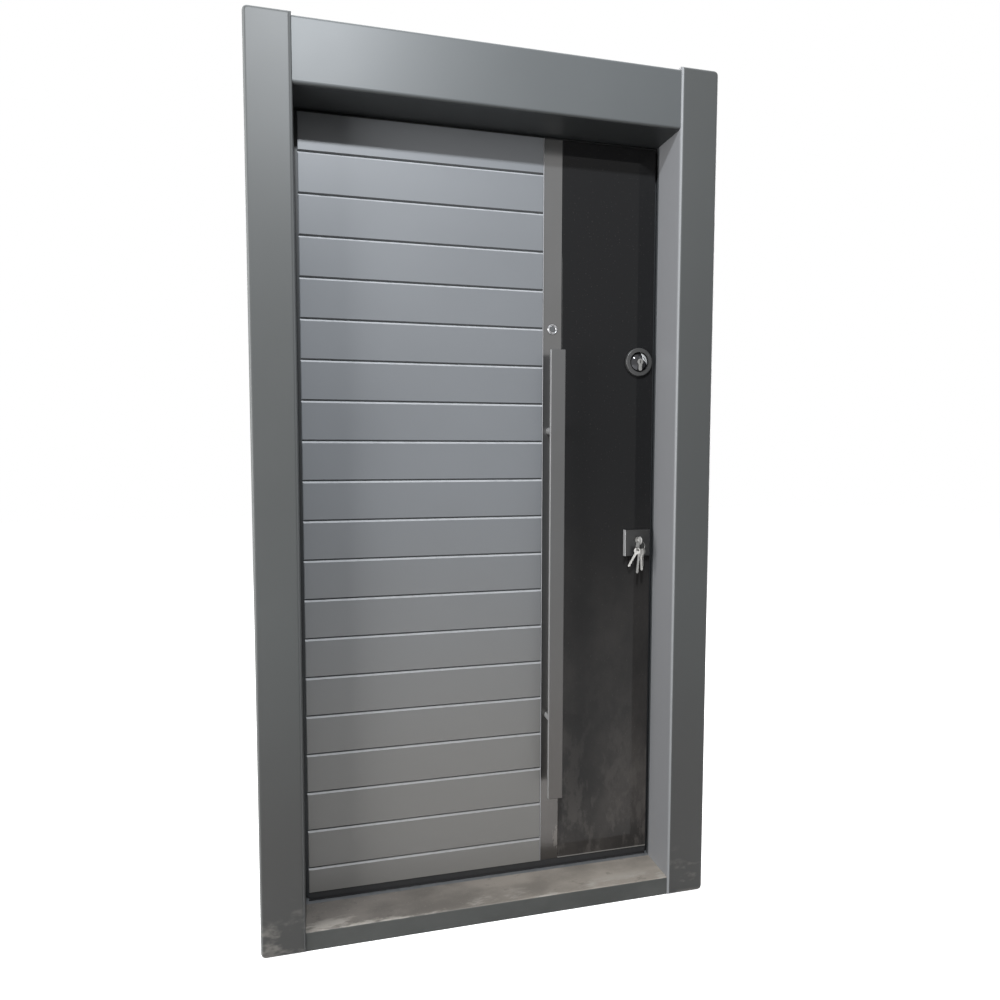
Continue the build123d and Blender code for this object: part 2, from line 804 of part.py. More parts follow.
def latch_bolt():
    """Spring latch, bevelled on the side that meets the strike when the leaf closes."""
    tip = leaf_half + latch_throw
    head_back = tip - latch_head_length
    half = latch_thickness / 2
    head = block((head_back, tip), (lock_y - half, lock_y + half),
                 (lever_z - latch_height / 2, lever_z + latch_height / 2))
    outline = Polyline((leaf_half, lock_y - half), (tip, lock_y - half), (tip, lock_y + half - latch_tail_radius / 2),
                       (leaf_half, lock_y - half))
    plane = Plane(origin=(0, 0, lever_z - latch_height / 2))
    bevel = extrude(plane * make_face(outline), latch_height)
    tail = rod_x(lock_y, lever_z, latch_tail_radius, head_back - latch_tail_length, head_back)
    return head - bevel + tail


def cylinder_body(height, y_start):
    """Fixed body of a cylinder, bored for the plug and gapped for the cam."""
    body = cylinder_bar(height, y_start, cylinder_back)
    bore = rod_y(lock_x, height, plug_radius + running_clearance, y_start, cylinder_back)
    gap = rod_y(lock_x, height, cam_clear_radius, lock_y - cam_gap / 2, lock_y + cam_gap / 2)
    return body - bore - gap


def outer_plug(height, y_start):
    """Keyed plug on the street side."""
    plug = rod_y(lock_x, height, plug_radius, y_start, lock_y - cam_length / 2 - plug_end_gap)
    keyway = block((lock_x - keyway_width / 2, lock_x + keyway_width / 2), (y_start, y_start + keyway_depth),
                   (height - keyway_height / 2, height + keyway_height / 2))
    return plug - keyway


def inner_plug(height):
    """Plug on the room side, with the cam that drives the bolts."""
    cam_y = (lock_y - cam_length / 2, lock_y + cam_length / 2)
    plug = rod_y(lock_x, height, plug_radius, cam_y[0], cylinder_back + plug_end)
    hub = rod_y(lock_x, height, cam_hub_radius, *cam_y)
    lobe = block((lock_x - cam_width / 2, lock_x + cam_width / 2), cam_y, (height, height + cam_radius))
    reach = rod_y(lock_x, height, cam_radius, *cam_y)
    return plug + hub + (lobe & reach)


def turn_knob(height):
    """Knob on the room end of a plug."""
    base_y = cylinder_back + plug_end
    base = rod_y(lock_x, height, knob_base_radius, base_y, base_y + knob_base_length)
    grip = fillet(Box(knob_thickness, knob_length, knob_width).edges(), knob_edge_radius)
    return base + Pos(lock_x, base_y + knob_base_length + knob_length / 2, height) * grip


# Escutcheons and rosettes
def escutcheon():
    """Square armour plate round the main cylinder."""
    half = escutcheon_side / 2
    center_z = main_lock_height - escutcheon_drop
    plate = block((lock_x - half, lock_x + half), (panel_front - escutcheon_thickness, panel_front),
                  (center_z - half, center_z + half))
    front = plate.faces().sort_by(Axis.Y)[0]
    plate = fillet(front.edges(), escutcheon_edge_radius)
    return plate - cylinder_bar(main_lock_height, panel_front - escutcheon_thickness, panel_front,
                                cylinder_hole_clearance)


def rosette_ring():
    """Outer ring of the round rosette."""
    front = panel_front - rosette_ring_height
    ring = rod_y(lock_x, upper_lock_height, rosette_radius, front, panel_front)
    ring = fillet(ring.faces().sort_by(Axis.Y)[0].edges(), rosette_ring_edge)
    return ring - rod_y(lock_x, upper_lock_height, rosette_dome_radius + rosette_fit, front, panel_front)


def rosette_dome():
    """Polished dome inside the ring, with the cylinder's mouth in it."""
    front = panel_front - rosette_dome_height
    crown = TangentArc((0, front), (rosette_dome_radius, panel_front - rosette_dome_edge), tangent=(1, 0))
    sides = Polyline((rosette_dome_radius, panel_front - rosette_dome_edge), (rosette_dome_radius, panel_front),
                     (0, panel_front), (0, front))
    plane = Plane(origin=(lock_x, 0, upper_lock_height), x_dir=(1, 0, 0), z_dir=(0, 0, 1))
    axis = Axis((lock_x, 0, upper_lock_height), (0, 1, 0))
    dome = revolve(plane * make_face([*crown.edges(), *sides.edges()]), axis)
    return dome - cylinder_bar(upper_lock_height, front, panel_front, cylinder_hole_clearance)


def inner_escutcheon():
    """Long plate on the room side, round the cylinder and the lever."""
    plate = block((lock_x - inner_escutcheon_width / 2, lock_x + inner_escutcheon_width / 2),
                  (frame_back, frame_back + inner_escutcheon_thickness),
                  (main_lock_height - inner_escutcheon_below, lever_z + inner_escutcheon_above))
    plate = fillet(plate.faces().sort_by(Axis.Y)[-1].edges(), escutcheon_edge_radius)
    depth = (frame_back, frame_back + inner_escutcheon_thickness)
    return plate - cylinder_bar(main_lock_height, *depth, cylinder_hole_clearance) - spindle_hole(*depth)


def upper_inner_rosette():
    """Round plate on the room side of the upper lock."""
    depth = (frame_back, frame_back + inner_escutcheon_thickness)
    disc = rod_y(lock_x, upper_lock_height, inner_rosette_radius + knob_edge_radius, *depth)
    disc = fillet(disc.faces().sort_by(Axis.Y)[-1].edges(), escutcheon_edge_radius)
    return disc - cylinder_bar(upper_lock_height, *depth, cylinder_hole_clearance)


def inner_lever():
    """Lever handle of the room side, with its spindle running into the lock."""
    hub_start = frame_back - inner_panel_thickness
    hub = rod_y(lock_x, lever_z, lever_hub_radius, hub_start, frame_back + lever_hub_length)
    spindle = block((lock_x - spindle_side / 2, lock_x + spindle_side / 2), (lock_y - carriage_depth / 2, hub_start),
                    (lever_z - spindle_side / 2, lever_z + spindle_side / 2))
    grip_y = frame_back + lever_hub_length - lever_thickness / 2
    grip = fillet(Box(lever_length, lever_thickness, lever_width).edges(), lever_edge_radius)
    grip = Pos(lock_x - lever_length / 2 + lever_hub_radius, grip_y, lever_z) * grip
    return hub + spindle + grip


# Keys
def main_key():
    """Key in the main cylinder, its bow upright."""
    half = key_thickness / 2
    blade = block((lock_x - half, lock_x + half),
                  (key_face - key_neck_length - key_neck_overlap, key_face + key_blade_length),
                  (main_lock_height - key_blade_height / 2, main_lock_height + key_blade_height / 2))
    plane = Plane(origin=(lock_x - half, bow_y, main_lock_height), x_dir=(0, 1, 0), z_dir=(1, 0, 0))
    bow = extrude(plane * Circle(key_bow_radius), key_thickness)
    hole = rod_x(key_hole_y, main_lock_height, key_hole_radius, lock_x - half, lock_x + half)
    return blade + bow - hole


def key_ring():
    """Wire ring through the bow of the main key."""
    return Pos(*ring_center) * Rot(90, 0, 0) * Torus(ring_radius, ring_wire_radius)


def spare_key(ring_angle, turn, lean, blade_length):
    """A key hanging on the ring, turned about the upright and leaning in its own plane."""
    half = spare_blade_width / 2
    bow_center = spare_hole_from_top - spare_bow_radius
    shoulder = bow_center - spare_bow_radius + half / 2
    tip = shoulder - blade_length
    point = spare_blade_point * half
    blade = make_face(Polyline((-half, shoulder), (-half, tip + point), (point - half, tip), (half - point, tip),
                               (half, tip + point), (half, shoulder), (-half, shoulder)))
    outline = Pos(0, bow_center) * Circle(spare_bow_radius) + blade - Circle(spare_hole_radius)
    flat = extrude(outline, key_thickness / 2, both=True)
    hung = Rot(0, 0, turn) * Rot(0, lean, 0) * Rot(90, 0, 0) * flat
    place = Pos(*ring_center) * Rot(0, -ring_angle, 0) * Pos(0, 0, -ring_radius)
    return Pos(*place.position) * hung


def group(shapes):
    """Separate solids under one name."""
    return Compound(children=[shape.solid() for shape in shapes])


frame_screws = [countersunk_screw(x, z, hinge_plate_face) for x, z in frame_hinge_screw_places()]
leaf_screws = [countersunk_screw(x, z, hinge_plate_face) for x, z in leaf_hinge_screw_places()]

nodes = {
    "left_casing": mirrored(upright_casing()),
    "right_casing": upright_casing(),
    "head_casing": head_casing(),
    "threshold": threshold(),
    "hinge_jamb": hinge_jamb(),
    "lock_jamb": lock_jamb(),
    "frame_head": frame_head(),
    "frame_sill": frame_sill(),
    "frame_gasket": frame_gasket(),
    "strike_plate": strike_plate(),
    "hinge_pins": group([hinge_pin(height) for height in hinge_heights]),
    "frame_screws": group(frame_screws),
    "leaf_tray": leaf_tray(),
    "leaf_back_skin": leaf_back_skin(),
    "leaf_rib": leaf_rib(),
    "insulation_hinge_side": insulation((-leaf_half + leaf_sheet, rib_x[0])),
    "insulation_lock_side": insulation((rib_x[1], leaf_half - leaf_sheet)),
    "grooved_panel": grooved_panel(),
    "handle_strip": handle_strip(),
    "glass_panel": glass_panel(),
    "glass_backer": glass_backer(),
    "inner_panel": inner_panel(),
    "bottom_sweep": bottom_sweep(),
    "leaf_screws": group(leaf_screws),
    "pull_bar": pull_bar(),
    "pull_posts": group([pull_post(height) for height in handle_post_heights]),
    "handle_bolts": group([handle_bolt(height) for height in handle_post_heights]),
    "peephole_barrel": peephole_barrel(),
    "peephole_lens": peephole_lens(),
    "peephole_rivet": peephole_rivet(),
    "peephole_cover": peephole_cover(),
    "lock_faceplate": lock_faceplate(),
    "main_lock_case": lock_case(main_case_z, main_lock_height, True),
    "upper_lock_case": lock_case(upper_case_z, upper_lock_height, False),
    "main_cylinder_body": cylinder_body(main_lock_height, cylinder_main_front),
    "upper_cylinder_body": cylinder_body(upper_lock_height, cylinder_upper_front),
    "main_outer_plug": outer_plug(main_lock_height, cylinder_main_front),
    "upper_outer_plug": outer_plug(upper_lock_height, cylinder_upper_front),
    "main_inner_plug": inner_plug(main_lock_height),
    "upper_inner_plug": inner_plug(upper_lock_height),
    "main_turn_knob": turn_knob(main_lock_height),
    "upper_turn_knob": turn_knob(upper_lock_height),
    "main_deadbolts": bolt_set(main_lock_height, main_bolt_offsets),
    "upper_deadbolts": bolt_set(upper_lock_height, upper_bolt_offsets),
    "latch_bolt": latch_bolt(),
    "escutcheon": escutcheon(),
    "rosette_ring": rosette_ring(),
    "rosette_dome": rosette_dome(),
    "inner_escutcheon": inner_escutcheon(),
    "upper_inner_rosette": upper_inner_rosette(),
    "inner_lever": inner_lever(),
    "main_key": main_key(),
    "key_ring": key_ring(),
    "spare_keys": group([spare_key(*place) for place in zip(spare_ring_angles, spare_turns, spare_leans,
                                                            spare_blade_lengths)]),
}
for index, height in enumerate(hinge_heights, start=1):
    nodes[f"hinge_frame_half_{index}"] = hinge_frame_half(height)
    nodes[f"hinge_leaf_half_{index}"] = hinge_leaf_half(height)

os.makedirs("parts", exist_ok=True)
for name, shape in nodes.items():
    export_step(shape, f"parts/{name}.step")
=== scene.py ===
import math

import bmesh
import bpy
from mathutils import Matrix, Vector
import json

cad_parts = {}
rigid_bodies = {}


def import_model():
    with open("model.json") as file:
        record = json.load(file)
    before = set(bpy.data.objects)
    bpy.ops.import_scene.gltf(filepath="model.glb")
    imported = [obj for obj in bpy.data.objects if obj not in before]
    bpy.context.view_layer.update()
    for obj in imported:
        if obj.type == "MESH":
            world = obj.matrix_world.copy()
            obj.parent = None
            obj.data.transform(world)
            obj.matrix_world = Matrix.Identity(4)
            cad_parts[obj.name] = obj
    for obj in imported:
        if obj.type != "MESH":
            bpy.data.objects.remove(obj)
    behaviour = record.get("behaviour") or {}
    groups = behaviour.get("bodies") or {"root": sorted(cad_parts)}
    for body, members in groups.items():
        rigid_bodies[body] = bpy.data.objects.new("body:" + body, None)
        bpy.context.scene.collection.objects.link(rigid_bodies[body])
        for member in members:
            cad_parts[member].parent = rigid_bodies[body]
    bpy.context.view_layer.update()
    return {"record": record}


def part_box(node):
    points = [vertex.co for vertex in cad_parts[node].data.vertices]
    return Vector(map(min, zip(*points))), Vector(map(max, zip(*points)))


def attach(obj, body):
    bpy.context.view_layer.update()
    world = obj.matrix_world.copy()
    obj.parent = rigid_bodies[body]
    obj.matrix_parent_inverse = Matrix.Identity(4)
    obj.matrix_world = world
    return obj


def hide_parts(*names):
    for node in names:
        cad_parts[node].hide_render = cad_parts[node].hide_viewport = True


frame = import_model()
millimetre = 0.001


# A socket that adds Math nodes when it is used in an expression
class Wire:
    def __init__(self, nodes, socket):
        self.nodes = nodes
        self.socket = socket

    def math(self, operation, left, right=0.0):
        return self.nodes.add("ShaderNodeMath", {"operation": operation}, {0: left, 1: right})

    def __add__(self, other):
        return self.math("ADD", self, other)

    def __radd__(self, other):
        return self.math("ADD", other, self)

    def __sub__(self, other):
        return self.math("SUBTRACT", self, other)

    def __rsub__(self, other):
        return self.math("SUBTRACT", other, self)

    def __mul__(self, other):
        return self.math("MULTIPLY", self, other)

    def __rmul__(self, other):
        return self.math("MULTIPLY", other, self)

    def __abs__(self):
        return self.math("ABSOLUTE", self)

    def upTo(self, most):
        return self.math("MINIMUM", self, most)

    def orMore(self, other):
        return self.math("MAXIMUM", self, other)


# The node tree of one material or of the world
class Nodes:
    def __init__(self, owner):
        owner.use_nodes = True
        self.owner = owner
        self.tree = owner.node_tree
        self.tree.nodes.clear()

    def add(self, kind, settings, sockets, output=0):
        made = self.tree.nodes.new(kind)
        for key, value in settings.items():
            setattr(made, key, value)
        for key, value in sockets.items():
            if isinstance(value, Wire):
                self.tree.links.new(value.socket, made.inputs[key])
            else:
                made.inputs[key].default_value = value
        return Wire(self, made.outputs[output]) if made.outputs else None

    def place(self, stretch):
        spot = self.add("ShaderNodeTexCoord", {}, {}, "Object")
        return self.add("ShaderNodeMapping", {}, {"Vector": spot, "Scale": stretch})

    def axis(self, name):
        spot = self.add("ShaderNodeTexCoord", {}, {}, "Object")
        return self.add("ShaderNodeSeparateXYZ", {}, {"Vector": spot}, name)

    def facing(self, name):
        normal = self.add("ShaderNodeNewGeometry", {}, {}, "Normal")
        return self.add("ShaderNodeSeparateXYZ", {}, {"Vector": normal}, name)

    def noise(self, scale, detail, stretch=(1, 1, 1), roughness=0.5):
        return self.add("ShaderNodeTexNoise", {}, {"Vector": self.place(stretch), "Scale": scale,
                                                   "Detail": detail, "Roughness": roughness})

    def between(self, value, low, high, start=0.0, end=1.0):
        return self.add("ShaderNodeMapRange", {"interpolation_type": "SMOOTHSTEP"},
                        {"Value": value, "From Min": low, "From Max": high, "To Min": start, "To Max": end})

    # A noise cut to a mask: the noise's own settings, then the range that between() takes
    def patches(self, noise, span):
        return self.between(self.noise(*noise), *span)

    def blend(self, factor, first, second):
        return self.add("ShaderNodeMix", {"data_type": "RGBA"}, {0: factor, 6: first, 7: second}, 2)

    def bump(self, height, distance, strength):
        return self.add("ShaderNodeBump", {}, {"Height": height, "Distance": distance, "Strength": strength})

    def seen(self):
        camera, glossy, through = [self.add("ShaderNodeLightPath", {}, {}, name) for name in
                                   ("Is Camera Ray", "Is Glossy Ray", "Is Transmission Ray")]
        return camera.orMore(glossy).orMore(through)

    def surface(self, sockets):
        shader = self.add("ShaderNodeBsdfPrincipled", {}, sockets)
        self.add("ShaderNodeOutputMaterial", {}, {"Surface": shader})
        return self.owner


def newFinish(name):
    return Nodes(bpy.data.materials.new(name))


def opaque(colour, factor=1.0):
    return tuple(part * factor for part in colour[:3]) + (1,)


def grey(level, warm=0.0):
    return (level * (1 + warm), level, level * (1 - warm), 1)


# Satin anthracite paint on boards and sheet: what sets each kind apart
paintSettings = {
    "casing": {"colour": (0.0715, 0.0745, 0.0735), "rough": 0.46, "gloss": 0.34, "dustAndHighlight": 0.30, "scuff": 0.75,
               "edge": 0.30, "shadeBelow": 0.40, "lowTone": (0.0445, 0.0440, 0.0420), "lowToneTop": 0.95,
               "lining": (0.205, 0.207, 0.214)},
    # The head board is a paler copy of the casing paint: painted light, standing for the brighter light on
    # the head
    "head": {"colour": (0.092, 0.098, 0.100), "rough": 0.44, "gloss": 0.36, "dustAndHighlight": 0.30, "scuff": 0.0,
             "edge": 0.30, "shadeBelow": 0.36},
    "plank": {"colour": (0.182, 0.190, 0.200), "rough": 0.42, "gloss": 0.42, "dustAndHighlight": 0.70, "scuff": 0.12,
              "edge": 0.0, "shadeBelow": 0.25, "lowTone": (0.186, 0.180, 0.170), "lowToneTop": 1.30},
    "steel": {"colour": (0.060, 0.064, 0.067), "rough": 0.42, "gloss": 0.35, "dustAndHighlight": 0.20, "scuff": 0.2},
    "leaf": {"colour": (0.036, 0.038, 0.039), "rough": 0.44, "gloss": 0.30, "dustAndHighlight": 0.15, "scuff": 0.2},
    "room": {"colour": (0.135, 0.142, 0.150), "rough": 0.45, "gloss": 0.40, "dustAndHighlight": 0.20, "scuff": 0.1},
}
# What all paints share. A noise is scale, detail, stretch and roughness. A range runs from where a mask
# is 0 to where it is 1, in metres for heights
paintWear = {
    "cloud": (3.0, 4.0), "shade": (0.90, 1.05),
    "dustAndHighlight": (60.0, 4.0), "dustAndHighlightRange": (0.25, 0.6, 0.7, 1.0), "dustFoot": 0.1, "dustLeast": 0.45,
    "scuff": (26.0, 5.0, (0.7, 1, 1.3), 0.52), "scuffRange": (0.52, 0.78), "scuffHeight": (0.17, 0.0),
    "hem": (16.0, 4.0), "hemRange": (0.40, 0.60), "hemHeight": (0.013, 0.004), "hemShare": 0.6,
    "lowToneFull": 0.25, "lowToneDrift": 0.12,
    "upwardDustAndHighlight": (0.25, 0.75), "shadeFacing": (-0.25, -0.75), "sideways": (0.30, 0.60), "corner": (0.10, 0.22),
    "liningMiddle": 2.75 * millimetre, "liningReach": (483.5 * millimetre, 481.5 * millimetre),
    "dustAndHighlightColour": (0.52, 0.53, 0.54, 1), "scuffColour": (0.28, 0.265, 0.24, 1),
    "edgeHighlightColour": (0.30, 0.31, 0.31, 1),
    "roughCloud": 0.10, "roughWorn": 0.25,
    "grain": (420.0, 2.0), "grainDepth": 0.12 * millimetre, "grainStrength": 0.35,
}


def satinPaint(name, colour, rough, gloss, dustAndHighlight, scuff, edge=0.3, shadeBelow=0.6, lowTone=None, lowToneTop=None,
               lining=None):
    wear = paintWear
    finish = newFinish(name)
    cloudy = finish.noise(*wear["cloud"])
    height = finish.axis("Z")
    side = finish.facing("X")
    low = finish.between(height, *wear["scuffHeight"])
    streaks = low * finish.patches(wear["scuff"], wear["scuffRange"])
    hem = finish.between(height, *wear["hemHeight"]) * finish.patches(wear["hem"], wear["hemRange"])
    marks = (streaks + wear["hemShare"] * hem).upTo(1.0) * scuff
    # Upward faces get pale dust, and with it a painted highlight of the top light, most of all on the upward
    # flanks of the plank grooves
    upwardDustAndHighlight = finish.between(finish.facing("Z"), *wear["upwardDustAndHighlight"]) * dustAndHighlight
    base = finish.blend(cloudy, *(opaque(colour, factor) for factor in wear["shade"]))
    # Towards the floor the colour turns to the low tone: on the casing it is darker, partly grime and partly
    # painted shade; on the planks it is warmer
    if lowTone:
        lowToneShare = finish.between(height + wear["lowToneDrift"] * cloudy, lowToneTop, wear["lowToneFull"])
        base = finish.blend(lowToneShare, base, opaque(lowTone))
        upwardDustAndHighlight = upwardDustAndHighlight * finish.between(height, wear["dustFoot"], lowToneTop, wear["dustLeast"], 1.0)
    # Painted shade: faces that turn downward are darkened to a share of the colour, standing for the shade
    # under them
    base = finish.blend(finish.between(finish.facing("Z"), *wear["shadeFacing"]), base, opaque(colour, shadeBelow))
    if lining:
        inside = finish.between(abs(finish.axis("X") - wear["liningMiddle"]), *wear["liningReach"])
        base = finish.blend(inside * finish.between(abs(side), *wear["sideways"]), base, opaque(lining))
    # Painted highlight: rounded corners between the front and the sides are paled, standing for the light
    # they catch
    if edge:
        front = finish.facing("Y")
        corner = finish.between(side * side * front * front, *wear["corner"])
        base = finish.blend(corner * edge, base, wear["edgeHighlightColour"])
    # Pale dust and painted highlight on upward faces, in patches
    dustAndHighlightShare = upwardDustAndHighlight * finish.patches(wear["dustAndHighlight"], wear["dustAndHighlightRange"])
    base = finish.blend(dustAndHighlightShare, base, wear["dustAndHighlightColour"])
    return finish.surface({
        "Base Color": finish.blend(marks, base, wear["scuffColour"]),
        "Roughness": (rough - wear["roughCloud"] / 2 + wear["roughCloud"] * cloudy
                      + wear["roughWorn"] * marks + wear["roughWorn"] * upwardDustAndHighlight),
        "Specular IOR Level": gloss,
        "Normal": finish.bump(finish.noise(*wear["grain"]), wear["grainDepth"], wear["grainStrength"]),
    })


# Threshold board, worn brown, lighter towards the lock side as painted light, with pale scrapes along its
# front edge
thresholdSettings = {
    "broad": (9.0, 5.0, (0.6, 1, 1), 0.6), "broadRange": (0.35, 0.65),
    "streak": (26.0, 5.0, (0.30, 1, 1), 0.6),
    "top": (0.3, 0.8), "lockSideLight": (-0.45, 0.40),
    "frontColours": ((0.043, 0.046, 0.044, 1), (0.060, 0.061, 0.057, 1)),
    "lightColours": ((0.180, 0.163, 0.146, 1), (0.315, 0.281, 0.242, 1)),
    "darkColours": ((0.112, 0.103, 0.093, 1), (0.205, 0.184, 0.159, 1)),
    "stain": (34.0, 6.0, (0.6, 1, 1), 0.65), "stainRange": (0.60, 0.68), "stainShare": 0.35,
    "stainColour": (0.075, 0.070, 0.064, 1),
    "grit": (260.0, 4.0), "gritRange": (0.62, 0.72), "gritShare": 0.3, "gritColour": (0.36, 0.33, 0.29, 1),
    "scrape": (18.0, 6.0, (0.35, 1, 1), 0.65), "scrapeRange": (0.50, 0.62), "scrapeReach": (0.050, -0.006),
    "scrapeShare": 0.75, "scrapeColour": (0.42, 0.39, 0.35, 1),
    "rough": 0.55, "roughBroad": 0.20, "gritHeight": 0.4, "depth": 0.3 * millimetre, "strength": 0.4,
}


def wornThreshold(settings):
    finish = newFinish("threshold paint")
    broad = finish.patches(settings["broad"], settings["broadRange"])
    streak = finish.noise(*settings["streak"])
    grit = finish.patches(settings["grit"], settings["gritRange"])
    stain = finish.patches(settings["stain"], settings["stainRange"])
    atEdge = finish.between(finish.axis("Y"), *settings["scrapeReach"])
    scrape = finish.patches(settings["scrape"], settings["scrapeRange"]) * atEdge
    # Painted light: the top turns lighter towards the lock side, where more light falls on it
    lockSideLight = finish.between(finish.axis("X"), *settings["lockSideLight"])
    light = finish.blend(lockSideLight, *settings["lightColours"])
    dark = finish.blend(lockSideLight, *settings["darkColours"])
    top = finish.blend(broad, dark, light)
    top = finish.blend(stain * settings["stainShare"], top, settings["stainColour"])
    top = finish.blend(grit * settings["gritShare"], top, settings["gritColour"])
    top = finish.blend(scrape * settings["scrapeShare"], top, settings["scrapeColour"])
    front = finish.blend(streak, *settings["frontColours"])
    height = streak + settings["gritHeight"] * grit
    return finish.surface({
        "Base Color": finish.blend(finish.between(finish.facing("Z"), *settings["top"]), front, top),
        "Roughness": settings["rough"] + settings["roughBroad"] * broad,
        "Normal": finish.bump(height, settings["depth"], settings["strength"]),
    })


# Coated metal of the strip, bar and lock plates: brown and dark low down as a painted reflection of a brown
# floor, and side faces paler as painted light
metalSettings = {
    "strip": {"level": 0.160, "rough": 0.16, "metallic": 0.70, "film": 0.75, "wear": 0.35, "sideLight": 0.0},
    "bar": {"level": 0.102, "rough": 0.34, "metallic": 0.25, "film": 0.92, "wear": 0.15, "sideLight": 0.28},
    "plate": {"level": 0.036, "rough": 0.30, "metallic": 0.35, "film": 0.0, "wear": 0.0, "sideLight": 0.50},
    "ring": {"level": 0.060, "rough": 0.34, "metallic": 0.35, "film": 0.0, "wear": 0.0, "sideLight": 0.0},
}
metalWear = {
    "brush": (900.0, 3.0, (1, 1, 0.012)), "brushDepth": 0.02 * millimetre, "brushStrength": 0.3,
    "cloud": (4.0, 4.0), "shade": (0.86, 1.10), "warmth": 0.02,
    "rub": (22.0, 7.0, (1.6, 1.6, 0.5), 0.65), "rubRange": (0.56, 0.68), "rubHeight": (0.70, 0.15),
    "rubColour": (0.24, 0.22, 0.20, 1), "filmHeight": (1.10, 0.15), "filmColour": (0.074, 0.066, 0.060, 1),
    "sideLightFacing": (0.55, 0.85), "roughBrush": 0.06, "roughFilm": 0.06, "roughRub": 0.25, "dullRub": 0.3,
}


def coatedMetal(name, level, rough, metallic, film, wear, sideLight):
    shared = metalWear
    finish = newFinish(name)
    brushed = finish.noise(*shared["brush"])
    height = finish.axis("Z")
    low = finish.between(height, *shared["rubHeight"])
    rubbed = low * finish.patches(shared["rub"], shared["rubRange"]) * wear
    # Painted reflection: the lower part turns brown and dark, standing for a brown floor seen in the metal
    floorReflection = finish.between(height, *shared["filmHeight"]) * film
    dark, light = (level * factor for factor in shared["shade"])
    base = finish.blend(finish.noise(*shared["cloud"]), grey(dark, shared["warmth"]), grey(light))
    base = finish.blend(floorReflection, base, shared["filmColour"])
    base = finish.blend(rubbed, base, shared["rubColour"])
    # Painted light: faces turned to the sides are paler, for the light they catch from the side
    if sideLight:
        base = finish.blend(finish.between(abs(finish.facing("X")), *shared["sideLightFacing"]), base, grey(sideLight))
    return finish.surface({
        "Base Color": base,
        "Metallic": metallic - shared["dullRub"] * rubbed,
        "Roughness": (rough + shared["roughBrush"] * brushed + shared["roughRub"] * rubbed
                      + shared["roughFilm"] * floorReflection),
        "Normal": finish.bump(brushed, shared["brushDepth"], shared["brushStrength"]),
    })


# Black glass, paler and browner towards the bottom in patches, with smears low down and a pale line at its
# foot
glassSettings = {
    "colour": (0.0125, 0.0125, 0.013, 1), "rough": 0.035, "gloss": 0.11,
    "film": (5.0, 6.0, (1, 1, 0.6), 0.6), "filmRange": (0.35, 0.75), "filmHeight": (1.25, 0.15),
    "filmEven": 0.30, "filmPatchy": 0.50, "filmColour": (0.080, 0.072, 0.066, 1), "roughFilm": 0.10,
    "smear": (22.0, 7.0, (1, 1, 0.5), 0.66), "smearRange": (0.48, 0.62), "smearHeight": (0.62, 0.10),
    "smearShare": 0.40, "smearColour": (0.115, 0.104, 0.095, 1), "roughSmear": 0.15,
    "speck": (240.0, 2.0), "speckRange": (0.66, 0.74), "speckShare": 0.25, "roughSpeck": 0.2,
    "hemHeight": (0.0795, 0.0775), "hemShare": 0.6, "hemColour": (0.34, 0.33, 0.31, 1),
}


def blackGlass(settings):
    finish = newFinish("black glass")
    height = finish.axis("Z")
    film = finish.patches(settings["film"], settings["filmRange"])
    low = finish.between(height, *settings["filmHeight"])
    smears = (finish.patches(settings["smear"], settings["smearRange"])
              * finish.between(height, *settings["smearHeight"]))
    specks = finish.patches(settings["speck"], settings["speckRange"])
    hem = finish.between(height, *settings["hemHeight"])
    dustAndHighlightShare = (settings["filmEven"] + settings["filmPatchy"] * film) * low + settings["speckShare"] * specks
    base = finish.blend(dustAndHighlightShare, settings["colour"], settings["filmColour"])
    base = finish.blend(settings["smearShare"] * smears, base, settings["smearColour"])
    return finish.surface({
        "Base Color": finish.blend(settings["hemShare"] * hem, base, settings["hemColour"]),
        "Roughness": (settings["rough"] + settings["roughFilm"] * film * low
                      + settings["roughSpeck"] * specks + settings["roughSmear"] * smears),
        "Specular IOR Level": settings["gloss"],
    })


# Lens of the door viewer
lensSettings = {"colour": (0.05, 0.055, 0.06, 1), "film": (400.0, 2.0), "rough": 0.02, "roughFilm": 0.05,
                "ior": 1.6, "coat": 1.0}


def clearLens(settings):
    finish = newFinish("viewer lens")
    rough = settings["rough"] + settings["roughFilm"] * finish.noise(*settings["film"])
    return finish.surface({"Base Color": settings["colour"], "Roughness": rough, "IOR": settings["ior"],
                           "Coat Weight": settings["coat"]})


